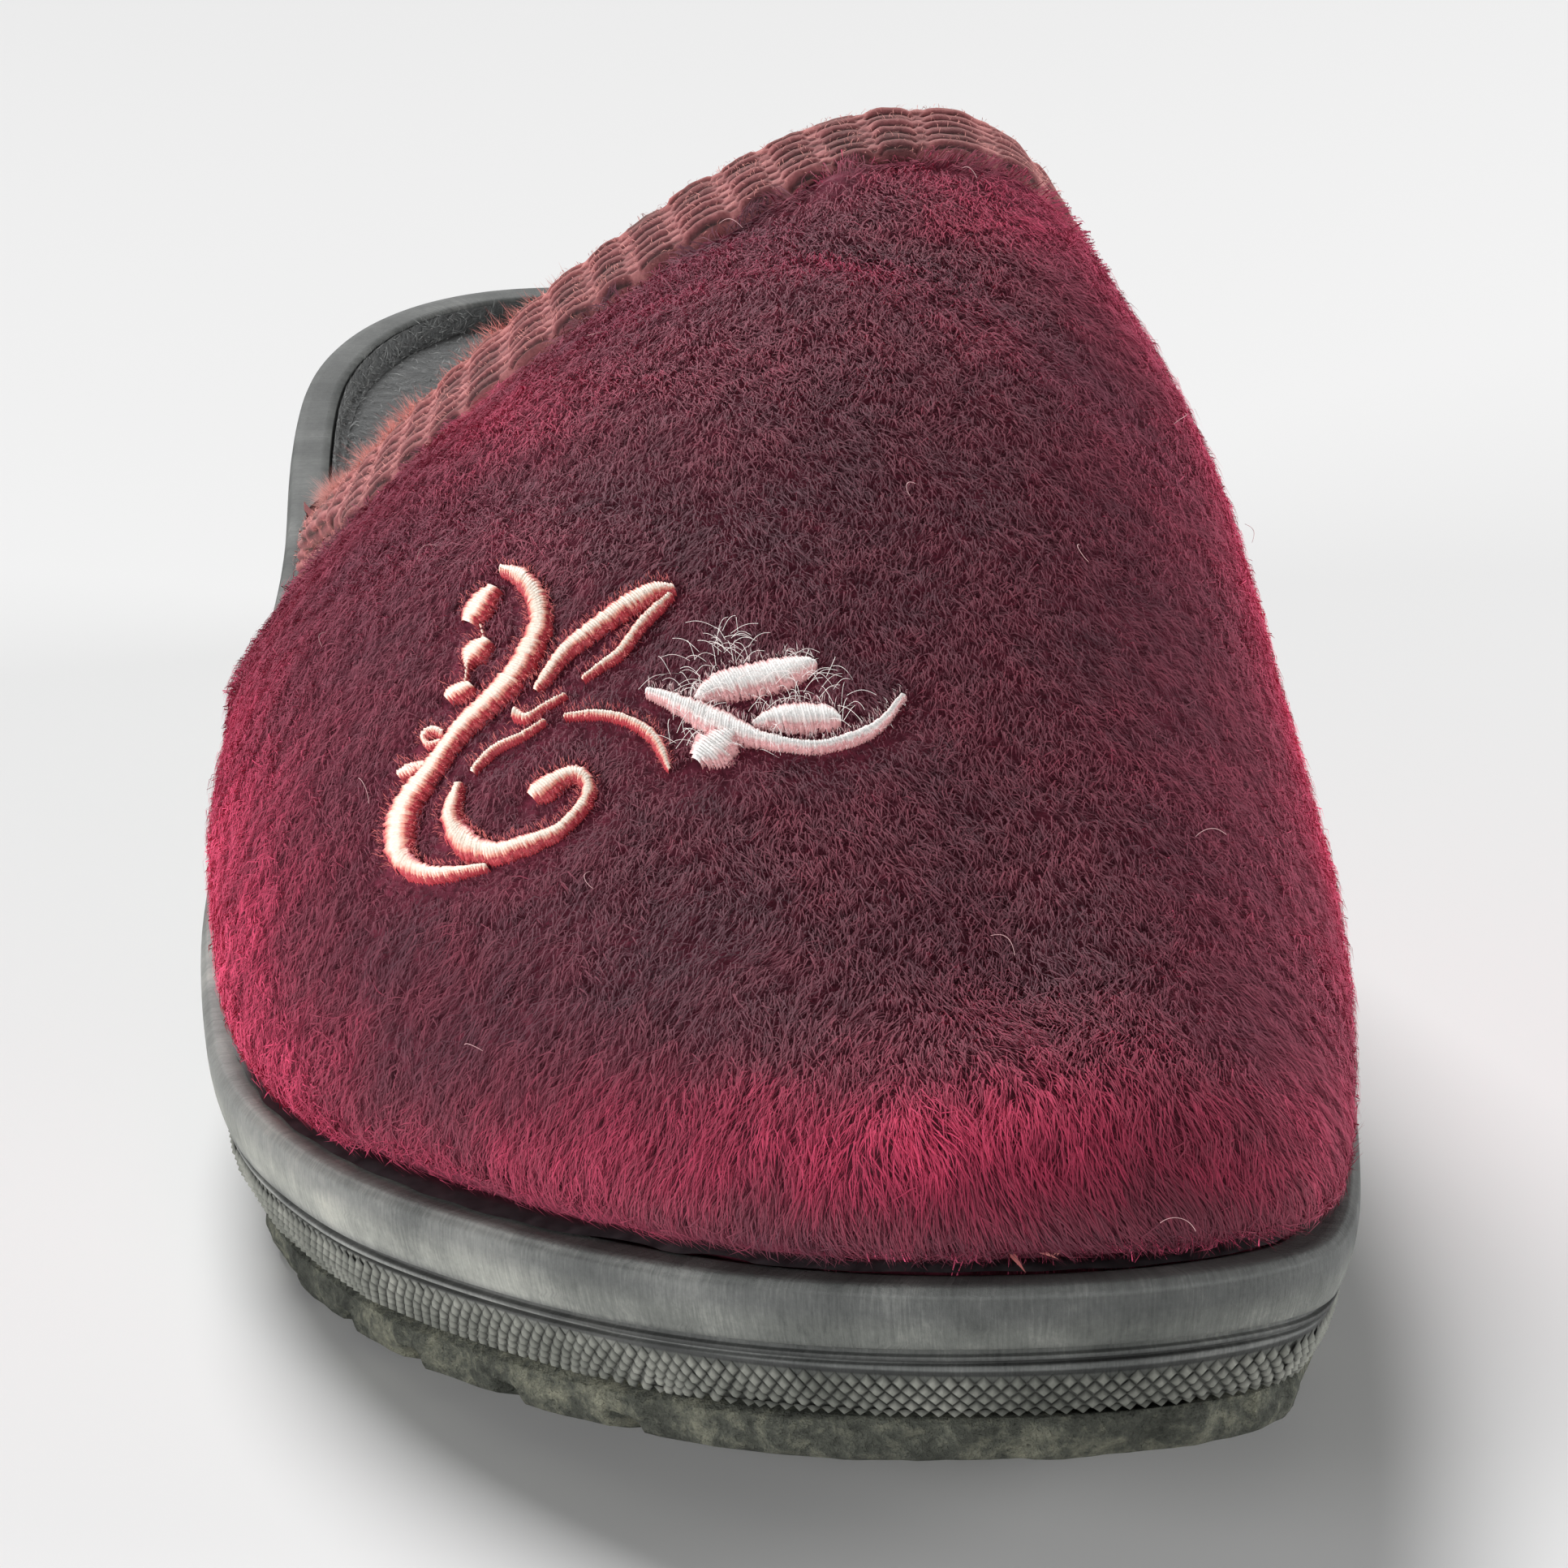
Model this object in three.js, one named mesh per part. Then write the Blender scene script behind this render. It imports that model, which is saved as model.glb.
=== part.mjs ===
import * as THREE from "three";

// Clog slipper for the right foot, in millimetres.
// While it is modelled the toe tip is at y = 0, the heel is at +y, the foot's inner side is at +x
// and the floor is z = 0. "Outer" and "inner" name the two sides of the foot.

// Sole
const SOLE_LENGTH = 256;
const BALL_WIDTH = 95;
const TOE_RIM_HEIGHT = 23.5;
const BALL_RIM_HEIGHT = 16.5;
const HEEL_RIM_HEIGHT = 38.5;
const TOE_SPRING = 9.5;
const ARCH_RISE = 4;
const SIDE_TAPER = 3.2;
const SIDE_STEP = 1;
const RIM_WIDTH = 4.5;
const FOOTBED_DEPTH = 6.2;

// Tread layer under the sole
const TREAD_TOE_THICKNESS = 3.3;
const TREAD_HEEL_THICKNESS = 5;
const TREAD_TUCK = 1.6;
const LUG_PITCH = 11;
const GROOVE_WIDTH = 3;
const GROOVE_SLOPE = 0.5;
const GROOVE_DEPTH_SHARE = 0.4;
const TOE_LAND = 20.5;
const HEEL_LAND = 15;

// Insole
const INSOLE_THICKNESS = 3.2;
const INSOLE_EDGE_ROUND = 0.8;
const INSOLE_SHOULDER = 8;
const INSOLE_CLEARANCE = 1;

// Upper
const INSTEP_HEIGHT = 81;
const TOE_BOX_HEIGHT = 36;
const TOE_CREST_SETBACK = 17;
const INSTEP_SETBACK = 130;
const OUTER_COLLAR_SETBACK = 183;
const INNER_COLLAR_SETBACK = 174;
const RIDGE_OFFSET = 15;
const SIDE_FULLNESS = 6.5;
const UPPER_WALL = 4;
const MARGIN_WALL = 3;
const RIM_CLEARANCE = 0.6;
const COLLAR_SWEEP = 2;
const BAND_SKEW_LIMIT = 0.6;
const ROLL_SHARE = 0.07;

// Knitted band round the collar
const BAND_WIDTH = 8.5;
const BAND_THICKNESS = 1.5;
const BAND_LINING_THICKNESS = 1.2;
const BAND_EDGE_TUCK = 0.3;

// Clearance between pieces that touch
const GAP = 0.3;

// Facets
const SOLE_STEPS = 36;
const END_STEPS = 8;
const UPPER_LINES = 26;
const UPPER_ROWS = 18;
const ROW_CROWDING = 1.15;
const LINE_CROWDING = 0.6;
const FOLD_STEPS = 4;

// Half widths of the sole's outline, as shares of the ball width, at shares of the sole's length
const OUTLINE = [
  { along: 0, outer: 0.105, inner: 0.105 },
  { along: 0.02, outer: -0.1, inner: 0.265 },
  { along: 0.06, outer: -0.235, inner: 0.316 },
  { along: 0.12, outer: -0.358, inner: 0.362 },
  { along: 0.2, outer: -0.472, inner: 0.412 },
  { along: 0.3, outer: -0.53, inner: 0.455 },
  { along: 0.38, outer: -0.526, inner: 0.468 },
  { along: 0.5, outer: -0.48, inner: 0.417 },
  { along: 0.6, outer: -0.43, inner: 0.37 },
  { along: 0.7, outer: -0.384, inner: 0.347 },
  { along: 0.8, outer: -0.358, inner: 0.342 },
  { along: 0.88, outer: -0.326, inner: 0.321 },
  { along: 0.94, outer: -0.268, inner: 0.258 },
  { along: 0.98, outer: -0.184, inner: 0.137 },
  { along: 1, outer: -0.042, inner: -0.042 },
];

// Shares of the rim's rise from ball to toe and from ball to heel, of the toe spring,
// of the arch rise and of the tread's growth from toe to heel
const SOLE_SIDE_VIEW = [
  { along: 0, toeRise: 1, heelRise: 0, spring: 1, arch: 0, tread: 0 },
  { along: 0.06, toeRise: 0.66, heelRise: 0, spring: 0.62, arch: 0, tread: 0.3 },
  { along: 0.12, toeRise: 0.38, heelRise: 0, spring: 0.34, arch: 0, tread: 0.5 },
  { along: 0.2, toeRise: 0.12, heelRise: 0, spring: 0.1, arch: 0, tread: 0.6 },
  { along: 0.27, toeRise: 0.02, heelRise: 0, spring: 0, arch: 0, tread: 0.65 },
  { along: 0.3, toeRise: 0, heelRise: 0, spring: 0, arch: 0, tread: 0.7 },
  { along: 0.43, toeRise: 0, heelRise: 0.16, spring: 0, arch: 0, tread: 0.8 },
  { along: 0.5, toeRise: 0, heelRise: 0.3, spring: 0, arch: 0.5, tread: 0.85 },
  { along: 0.58, toeRise: 0, heelRise: 0.46, spring: 0, arch: 1, tread: 0.9 },
  { along: 0.65, toeRise: 0, heelRise: 0.59, spring: 0, arch: 0.55, tread: 0.95 },
  { along: 0.72, toeRise: 0, heelRise: 0.71, spring: 0, arch: 0, tread: 1 },
  { along: 1, toeRise: 0, heelRise: 1, spring: 0, arch: 0, tread: 1 },
];

// Side of the moulded sole from its bottom edge to its rim: a textured band, a groove, a raised line
// and a smooth band. Rise is a share of the side's height and step a share of the side step.
const SOLE_SIDE = [
  { rise: 0, step: 1.3 },
  { rise: 0.05, step: 0.5 },
  { rise: 0.22, step: 0.3 },
  { rise: 0.4, step: 0.5 },
  { rise: 0.415, step: 1.1 },
  { rise: 0.44, step: 1.1 },
  { rise: 0.45, step: 0.3 },
  { rise: 0.48, step: 0.3 },
  { rise: 0.495, step: 0.9 },
  { rise: 0.525, step: 0.9 },
  { rise: 0.545, step: 0.2 },
  { rise: 0.7, step: 0 },
  { rise: 0.84, step: 0 },
  { rise: 0.94, step: 0.2 },
  { rise: 1, step: 0.8 },
];

// Shares of the ridge's height from toe box to instep and of its offset to the inner side,
// at shares of the way from the toe crest to the instep
const RIDGE = [
  { along: 0, height: 0, offset: 0.4 },
  { along: 0.06, height: 0.03, offset: 0.43 },
  { along: 0.15, height: 0.13, offset: 0.48 },
  { along: 0.285, height: 0.31, offset: 0.58 },
  { along: 0.45, height: 0.53, offset: 0.78 },
  { along: 0.62, height: 0.73, offset: 0.96 },
  { along: 0.8, height: 0.87, offset: 1 },
  { along: 1, height: 1, offset: 1 },
];

// Roundness of the upper's sections, from 1.5 for a nearly straight slope to 3.5 for a boxy side,
// and shares of the fullness by which each side swells past the rim's inner edge
const SECTIONS = [
  { along: 0, outerRound: 2.75, innerRound: 2.7, outerFull: 0.72, innerFull: 0.9 },
  { along: 0.24, outerRound: 2.55, innerRound: 2.85, outerFull: 0.76, innerFull: 0.84 },
  { along: 0.48, outerRound: 2.4, innerRound: 2.95, outerFull: 0.86, innerFull: 0.8 },
  { along: 0.72, outerRound: 2, innerRound: 3.2, outerFull: 0.84, innerFull: 1.05 },
  { along: 0.86, outerRound: 1.62, innerRound: 3.3, outerFull: 0.7, innerFull: 1.4 },
  { along: 0.94, outerRound: 1.47, innerRound: 3.4, outerFull: 0.6, innerFull: 1.7 },
  { along: 1, outerRound: 1.5, innerRound: 3.5, outerFull: 0.55, innerFull: 1.9 },
];

const OUTER = -1;
const INNER = 1;

// A smooth curve through the points, with no overshoot between them
function smoothCurve(xs, ys) {
  const slopes = [];
  for (let i = 0; i < xs.length - 1; i += 1) {
    slopes.push((ys[i + 1] - ys[i]) / (xs[i + 1] - xs[i]));
  }
  const tangents = xs.map((x, i) => {
    if (i === 0) {
      return slopes[0];
    }
    if (i === xs.length - 1) {
      return slopes[i - 1];
    }
    if (slopes[i - 1] * slopes[i] <= 0) {
      return 0;
    }
    const before = xs[i] - xs[i - 1];
    const after = xs[i + 1] - xs[i];
    const weight = 3 * (before + after);
    return weight / ((2 * after + before) / slopes[i - 1] + (after + 2 * before) / slopes[i]);
  });
  return (x) => {
    const at = Math.min(Math.max(x, xs[0]), xs[xs.length - 1]);
    let i = 0;
    while (i < xs.length - 2 && at > xs[i + 1]) {
      i += 1;
    }
    const width = xs[i + 1] - xs[i];
    const t = (at - xs[i]) / width;
    const rest = 1 - t;
    return ys[i] * (1 + 2 * t) * rest * rest
      + tangents[i] * width * t * rest * rest
      + ys[i + 1] * t * t * (3 - 2 * t)
      - tangents[i + 1] * width * t * t * rest;
  };
}

// One column of a table as a curve over its "along" column
function column(table, name, place = (along) => along) {
  return smoothCurve(table.map((row) => place(row.along)), table.map((row) => row[name]));
}

// Angle round the outline: 0 at the toe tip and pi at the heel, which crowds points at both ends
function angleAt(along) {
  return Math.acos(1 - 2 * Math.min(Math.max(along, 0), 1));
}

const outlineCurves = {
  [OUTER]: column(OUTLINE, "outer", angleAt),
  [INNER]: column(OUTLINE, "inner", angleAt),
};
const toeRise = column(SOLE_SIDE_VIEW, "toeRise");
const heelRise = column(SOLE_SIDE_VIEW, "heelRise");
const springShare = column(SOLE_SIDE_VIEW, "spring");
const archShare = column(SOLE_SIDE_VIEW, "arch");
const treadShare = column(SOLE_SIDE_VIEW, "tread");
const ridgeHeight = column(RIDGE, "height");
const ridgeOffset = column(RIDGE, "offset");
const roundness = {
  [OUTER]: column(SECTIONS, "outerRound"),
  [INNER]: column(SECTIONS, "innerRound"),
};
const fullness = {
  [OUTER]: column(SECTIONS, "outerFull"),
  [INNER]: column(SECTIONS, "innerFull"),
};
const collarSetback = { [OUTER]: OUTER_COLLAR_SETBACK, [INNER]: INNER_COLLAR_SETBACK };

// Point on the sole's outline, moved inwards by the inset
function outlinePoint(side, angle, inset) {
  const nearby = 0.001;
  const x = (a) => BALL_WIDTH * outlineCurves[side](a);
  const y = (a) => SOLE_LENGTH * (1 - Math.cos(a)) / 2;
  const low = Math.max(angle - nearby, 0);
  const high = Math.min(angle + nearby, Math.PI);
  const dx = x(high) - x(low);
  const dy = y(high) - y(low);
  const size = Math.hypot(dx, dy);
  return [x(angle) - side * dy / size * inset, y(angle) + side * dx / size * inset];
}

function rimHeight(y) {
  const along = y / SOLE_LENGTH;
  return BALL_RIM_HEIGHT
    + (TOE_RIM_HEIGHT - BALL_RIM_HEIGHT) * toeRise(along)
    + (HEEL_RIM_HEIGHT - BALL_RIM_HEIGHT) * heelRise(along);
}

function groundHeight(y) {
  const along = y / SOLE_LENGTH;
  return TOE_SPRING * springShare(along) + ARCH_RISE * archShare(along);
}

function treadThickness(y) {
  return TREAD_TOE_THICKNESS + (TREAD_HEEL_THICKNESS - TREAD_TOE_THICKNESS) * treadShare(y / SOLE_LENGTH);
}

function treadTop(y) {
  return groundHeight(y) + treadThickness(y);
}

function soleBottom(y) {
  return treadTop(y) + GAP;
}

function footbedHeight(y) {
  return rimHeight(y) - FOOTBED_DEPTH;
}

// A ring of points round the sole: from the toe down the inner side to the heel and back
function ring(angles, insetAt, heightAt) {
  const place = (side) => (angle, step) => {
    const y = SOLE_LENGTH * (1 - Math.cos(angle)) / 2;
    const [px, py] = outlinePoint(side, angle, insetAt(y, side));
    return [px, py, heightAt(py, step)];
  };
  const innerSide = angles.map(place(INNER));
  const outerSide = angles.map(place(OUTER));
  return innerSide.concat(outerSide.slice(1, -1).reverse());
}

// Geometry of a closed body from its corner points and triangles, with its faces pointing out
function bodyGeometry(points, triangles) {
  let volume = 0;
  for (const [a, b, c] of triangles) {
    const pa = new THREE.Vector3(...points[a]);
    const pb = new THREE.Vector3(...points[b]);
    const pc = new THREE.Vector3(...points[c]);
    volume += pa.dot(pb.cross(pc));
  }
  const facing = volume > 0 ? triangles : triangles.map(([a, b, c]) => [a, c, b]);
  const geometry = new THREE.BufferGeometry();
  geometry.setAttribute("position", new THREE.Float32BufferAttribute(points.flat(), 3));
  geometry.setIndex(facing.flat());
  geometry.computeVertexNormals();
  return geometry;
}

// A body of stacked rings, closed at both ends by rungs from the inner to the outer side
function ringBody(rings) {
  const count = rings[0].length;
  const half = count / 2;
  const triangles = [];
  for (let level = 0; level < rings.length - 1; level += 1) {
    for (let i = 0; i < count; i += 1) {
      const a = level * count + i;
      const b = level * count + (i + 1) % count;
      triangles.push([a, b, b + count], [a, b + count, a + count]);
    }
  }
  for (const [base, flip] of [[0, true], [(rings.length - 1) * count, false]]) {
    for (let i = 0; i < half; i += 1) {
      const near = base + i;
      const next = base + i + 1;
      const across = base + (count - i) % count;
      const acrossNext = base + count - i - 1;
      const rung = [];
      if (across !== near) {
        rung.push([near, next, across]);
      }
      if (next !== acrossNext) {
        rung.push([next, acrossNext, across]);
      }
      triangles.push(...rung.map(([a, b, c]) => (flip ? [a, c, b] : [a, b, c])));
    }
  }
  return bodyGeometry(rings.flat(), triangles);
}

function evenAngles(from, to, steps) {
  return Array.from({ length: steps + 1 }, (_, i) => from + (to - from) * i / steps);
}

// Tread layer: a thin slab that follows the sole's bottom, cut across by grooves that leave lugs
function outsoleGeometry() {
  const grooveEdges = [];
  const half = GROOVE_WIDTH / 2;
  for (let y = TOE_LAND; y <= SOLE_LENGTH - HEEL_LAND; y += LUG_PITCH) {
    grooveEdges.push(
      { y: y - half, cut: 0 },
      { y: y - half + GROOVE_SLOPE, cut: 1 },
      { y: y + half - GROOVE_SLOPE, cut: 1 },
      { y: y + half, cut: 0 },
    );
  }
  const toePart = evenAngles(0, angleAt(grooveEdges[0].y / SOLE_LENGTH), END_STEPS).slice(0, -1);
  const heelStart = angleAt(grooveEdges[grooveEdges.length - 1].y / SOLE_LENGTH);
  const heelPart = evenAngles(heelStart, Math.PI, END_STEPS).slice(1);
  const angles = [...toePart, ...grooveEdges.map((edge) => angleAt(edge.y / SOLE_LENGTH)), ...heelPart];
  const cuts = [...toePart.map(() => 0), ...grooveEdges.map((edge) => edge.cut), ...heelPart.map(() => 0)];
  const floorInset = SIDE_TAPER + TREAD_TUCK;
  const sideInset = SIDE_TAPER + TREAD_TUCK / 2;
  const underside = (y, step) => groundHeight(y) + cuts[step] * GROOVE_DEPTH_SHARE * treadThickness(y);
  return ringBody([
    ring(angles, () => floorInset, underside),
    ring(angles, () => sideInset, (y) => groundHeight(y) + treadThickness(y) / 2),
    ring(angles, () => sideInset, treadTop),
  ]);
}

// Moulded sole: a cup whose side carries the bands, with a rim bead round the footbed
function midsoleGeometry() {
  const angles = evenAngles(0, Math.PI, SOLE_STEPS);
  const rings = SOLE_SIDE.map(({ rise, step }) => {
    const inset = SIDE_TAPER * (1 - rise) ** 2 + SIDE_STEP * step;
    return ring(angles, () => inset, (y) => soleBottom(y) + rise * (rimHeight(y) - soleBottom(y)));
  });
  rings.push(ring(angles, () => RIM_WIDTH, rimHeight));
  rings.push(ring(angles, () => RIM_WIDTH, footbedHeight));
  return ringBody(rings);
}

// Insole: a felt sheet in the footbed, narrower where the upper's margin goes down beside it
function insoleGeometry() {
  const angles = evenAngles(0, Math.PI, SOLE_STEPS);
  const besideRim = RIM_WIDTH + GAP;
  const besideUpper = besideRim + MARGIN_WALL + INSOLE_CLEARANCE;
  const inset = (y, side) => {
    const past = (y - collarSetback[side] - INSOLE_CLEARANCE) / INSOLE_SHOULDER;
    const share = THREE.MathUtils.smoothstep(past, 0, 1);
    return besideUpper + (besideRim - besideUpper) * share;
  };
  const bottom = (y) => footbedHeight(y) + GAP;
  const top = (y) => bottom(y) + INSOLE_THICKNESS;
  return ringBody([
    ring(angles, inset, bottom),
    ring(angles, inset, (y) => top(y) - INSOLE_EDGE_ROUND),
    ring(angles, (y, side) => inset(y, side) + INSOLE_EDGE_ROUND, top),
  ]);
}

// Point on the upper. "along" runs from the toe (0) to the collar edge (1), "turn" runs up one
// section from the rim (0) to the ridge (1), and "depth" is the distance in from the outer face.
function upperPoint(side, along, turn, depth) {
  const crest = [
    RIDGE_OFFSET * ridgeOffset(along),
    TOE_CREST_SETBACK + (INSTEP_SETBACK - TOE_CREST_SETBACK) * along,
    TOE_BOX_HEIGHT + (INSTEP_HEIGHT - TOE_BOX_HEIGHT) * ridgeHeight(along) - depth,
  ];
  const power = roundness[side](along);
  const angle = turn * Math.PI / 2;
  const reach = (Math.cos(angle) ** power + Math.sin(angle) ** power) ** (-1 / power);
  const outwards = turn === 1 ? 0 : reach * Math.cos(angle);
  const climb = reach * Math.sin(angle);
  const rimY = along * collarSetback[side];
  const sweep = climb * (1 + COLLAR_SWEEP) / (1 + COLLAR_SWEEP * climb);
  const footY = rimY + (Math.min(rimY, crest[1]) - rimY) * sweep;
  const swell = SIDE_FULLNESS * fullness[side](along) * (1 - Math.exp(-climb / ROLL_SHARE)) * (1 - climb);
  const footAngle = angleAt(footY / SOLE_LENGTH);
  const footDepth = Math.min(depth, MARGIN_WALL) + Math.max(depth - UPPER_WALL, 0);
  const foot = outlinePoint(side, footAngle, RIM_WIDTH + GAP + footDepth - swell);
  const footZ = rimHeight(footY) + RIM_CLEARANCE;
  return new THREE.Vector3(
    foot[0] * outwards + crest[0] * (1 - outwards),
    foot[1] * outwards + crest[1] * (1 - outwards),
    footZ * (1 - climb) + crest[2] * climb,
  );
}

// Point on the margin that goes down beside the insole, under the section's start
function marginPoint(side, along, depth) {
  const y = along * collarSetback[side];
  const point = upperPoint(side, along, 0, depth);
  point.z = footbedHeight(y) + GAP;
  return point;
}

// Share of the length that lies this far in from the collar edge, measured square to that edge
function shareFromCollar(side, turn, distance) {
  const nearby = 0.05;
  const low = Math.max(turn - nearby, 0);
  const high = Math.min(turn + nearby, 1);
  const edge = upperPoint(side, 1, high, 0).sub(upperPoint(side, 1, low, 0));
  const back = upperPoint(side, 1, turn, 0)
    .sub(upperPoint(side, 1 - nearby, turn, 0))
    .divideScalar(nearby);
  const squareness = back.clone().cross(edge).length() / (back.length() * edge.length());
  return 1 - distance / (back.length() * Math.max(squareness, BAND_SKEW_LIMIT));
}

const ROW_TURNS = Array.from({ length: UPPER_ROWS + 1 }, (_, k) => (k / UPPER_ROWS) ** ROW_CROWDING);
const BAND_STEP = BAND_THICKNESS + GAP;
const BAND_SEAT = BAND_WIDTH + GAP;

// Length before the collar edge in which the upper's lines turn to follow that edge
const BAND_LEAD = 2 * BAND_WIDTH;

// A sheet with thickness from two matching grids of points. Edges that are not folded get a strip.
function sheetGeometry(outerGrid, innerGrid, foldedStart) {
  const lines = outerGrid.length;
  const rows = outerGrid[0].length;
  const layer = lines * rows;
  const id = (i, k) => (foldedStart && i === 0 && k > rows / 2 ? rows - 1 - k : i * rows + k);
  const points = [...outerGrid.flat(), ...innerGrid.flat()];
  const triangles = [];
  const quad = (a, b, c, d) => {
    const straight = points[a].distanceTo(points[c]) <= points[b].distanceTo(points[d]);
    const halves = straight ? [[a, b, c], [a, c, d]] : [[a, b, d], [b, c, d]];
    triangles.push(...halves.filter((triangle) => new Set(triangle).size === 3));
  };
  for (let i = 0; i < lines - 1; i += 1) {
    for (let k = 0; k < rows - 1; k += 1) {
      quad(id(i, k), id(i, k + 1), id(i + 1, k + 1), id(i + 1, k));
      quad(layer + id(i, k), layer + id(i + 1, k), layer + id(i + 1, k + 1), layer + id(i, k + 1));
    }
    quad(id(i, 0), id(i + 1, 0), layer + id(i + 1, 0), layer + id(i, 0));
    quad(id(i + 1, rows - 1), id(i, rows - 1), layer + id(i, rows - 1), layer + id(i + 1, rows - 1));
  }
  for (let k = 0; k < rows - 1; k += 1) {
    const end = lines - 1;
    quad(id(end, k), id(end, k + 1), layer + id(end, k + 1), layer + id(end, k));
    if (!foldedStart) {
      quad(id(0, k + 1), id(0, k), layer + id(0, k), layer + id(0, k + 1));
    }
  }
  const used = [...new Set(triangles.flat())].sort((a, b) => a - b);
  const renumber = new Map(used.map((old, index) => [old, index]));
  return bodyGeometry(
    used.map((old) => points[old].toArray()),
    triangles.map((triangle) => triangle.map((old) => renumber.get(old))),
  );
}

// One line over the foot: up the outer side to the ridge and down the inner side
function lineOver(pointAt, turns) {
  const up = turns.map((turn) => pointAt(OUTER, turn));
  const down = turns.slice(0, -1).map((turn) => pointAt(INNER, turn)).reverse();
  return [...up, ...down];
}

// Upper: a hollow vamp from the toe to the collar, stepped down under the knitted band
function upperGeometry() {
  const bodyEnd = 1 - BAND_LEAD / (INSTEP_SETBACK - TOE_CREST_SETBACK);
  const lines = [];
  for (let i = 0; i <= UPPER_LINES; i += 1) {
    const even = i / UPPER_LINES;
    const crowded = 1 - Math.cos(Math.PI / 2 * even);
    const share = crowded * LINE_CROWDING + even * (1 - LINE_CROWDING);
    lines.push({ shareAt: () => share * bodyEnd, depth: 0 });
  }
  for (const { distance, depth } of [
    { distance: BAND_SEAT, depth: 0 },
    { distance: BAND_SEAT, depth: BAND_STEP },
    { distance: BAND_SEAT / 2, depth: BAND_STEP },
    { distance: 0, depth: BAND_STEP },
  ]) {
    lines.push({ shareAt: (side, turn) => shareFromCollar(side, turn, distance), depth });
  }
  const turns = [0, ...ROW_TURNS];
  const grid = (depthOf) => lines.map((line) => {
    const depth = depthOf(line);
    const place = (side, turn) => upperPoint(side, line.shareAt(side, turn), turn, depth);
    const over = lineOver(place, turns);
    over[0] = marginPoint(OUTER, line.shareAt(OUTER, 0), depth);
    over[over.length - 1] = marginPoint(INNER, line.shareAt(INNER, 0), depth);
    return over;
  });
  return sheetGeometry(grid((line) => line.depth), grid(() => UPPER_WALL), true);
}

// Knitted band: a strip folded over the collar edge, with a leaf outside and a leaf inside
function collarBandGeometry() {
  const underside = UPPER_WALL + GAP;
  const liningFace = underside + BAND_LINING_THICKNESS;
  const fold = [
    { out: BAND_WIDTH, face: BAND_EDGE_TUCK, backOut: BAND_WIDTH, back: BAND_THICKNESS },
    { out: BAND_SEAT / 2, face: 0, backOut: BAND_SEAT / 2, back: BAND_THICKNESS },
    { out: 0, face: 0, backOut: 0, back: BAND_THICKNESS },
  ];
  for (let step = 1; step < FOLD_STEPS; step += 1) {
    const angle = Math.PI * step / FOLD_STEPS;
    const through = (step - 1) / (FOLD_STEPS - 2);
    fold.push({
      out: -GAP - BAND_THICKNESS * Math.sin(angle),
      face: liningFace * (1 - Math.cos(angle)) / 2,
      backOut: -GAP,
      back: BAND_THICKNESS + (underside - BAND_THICKNESS) * through,
    });
  }
  fold.push(
    { out: 0, face: liningFace, backOut: 0, back: underside },
    { out: BAND_SEAT / 2, face: liningFace, backOut: BAND_SEAT / 2, back: underside },
  );
  const grid = (outName, depthName) => fold.map((step) => {
    const shareAt = (side, turn) => shareFromCollar(side, turn, step[outName]);
    return lineOver((side, turn) => upperPoint(side, shareAt(side, turn), turn, step[depthName]), ROW_TURNS);
  });
  return sheetGeometry(grid("out", "face"), grid("backOut", "back"), false);
}

const PIECES = [
  { name: "outsole", build: outsoleGeometry, color: 0x4b4c47, roughness: 0.9 },
  { name: "midsole", build: midsoleGeometry, color: 0x7c7b74, roughness: 0.75 },
  { name: "insole", build: insoleGeometry, color: 0x5a5a59, roughness: 1 },
  { name: "upper", build: upperGeometry, color: 0x64203c, roughness: 0.95 },
  { name: "collar_binding", build: collarBandGeometry, color: 0x965a5d, roughness: 0.95 },
];

const modelled = new THREE.Group();
for (const { name, build, color, roughness } of PIECES) {
  const material = new THREE.MeshStandardMaterial({ color, roughness, metalness: 0 });
  const mesh = new THREE.Mesh(build(), material);
  mesh.name = name;
  modelled.add(mesh);
}

// The finished slipper stands on the floor with the middle of its outer box at the origin
const box = new THREE.Box3().setFromObject(modelled);
const middle = box.getCenter(new THREE.Vector3());
modelled.position.set(-middle.x, -middle.y, -box.min.z);
const slipper = new THREE.Group();
slipper.add(modelled);

export default slipper;
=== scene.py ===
import math

import bpy
import numpy as np
from mathutils import Matrix, Vector
from mathutils.bvhtree import BVHTree
from mathutils.kdtree import KDTree


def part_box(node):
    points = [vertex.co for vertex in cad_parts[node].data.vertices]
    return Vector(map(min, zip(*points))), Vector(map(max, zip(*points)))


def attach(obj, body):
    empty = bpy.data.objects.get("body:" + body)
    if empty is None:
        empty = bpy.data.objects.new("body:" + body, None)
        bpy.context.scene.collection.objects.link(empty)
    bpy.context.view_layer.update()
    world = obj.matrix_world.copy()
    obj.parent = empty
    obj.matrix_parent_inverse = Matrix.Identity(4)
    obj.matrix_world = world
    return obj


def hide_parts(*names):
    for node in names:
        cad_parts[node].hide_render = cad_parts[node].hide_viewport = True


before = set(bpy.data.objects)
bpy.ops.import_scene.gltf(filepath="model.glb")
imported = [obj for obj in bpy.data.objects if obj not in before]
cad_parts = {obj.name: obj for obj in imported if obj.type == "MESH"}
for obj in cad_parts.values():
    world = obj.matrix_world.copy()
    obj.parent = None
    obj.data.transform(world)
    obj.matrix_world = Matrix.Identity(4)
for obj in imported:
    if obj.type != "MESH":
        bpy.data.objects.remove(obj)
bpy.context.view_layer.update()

# Lengths are in millimetres and become metres when a mesh is made. Only the camera's
# clipping range and the studio's places and sizes are given in metres.
# +X is the foot's inner side, +Y the heel and +Z up.
MM = 0.001
BODY = "root"

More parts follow.
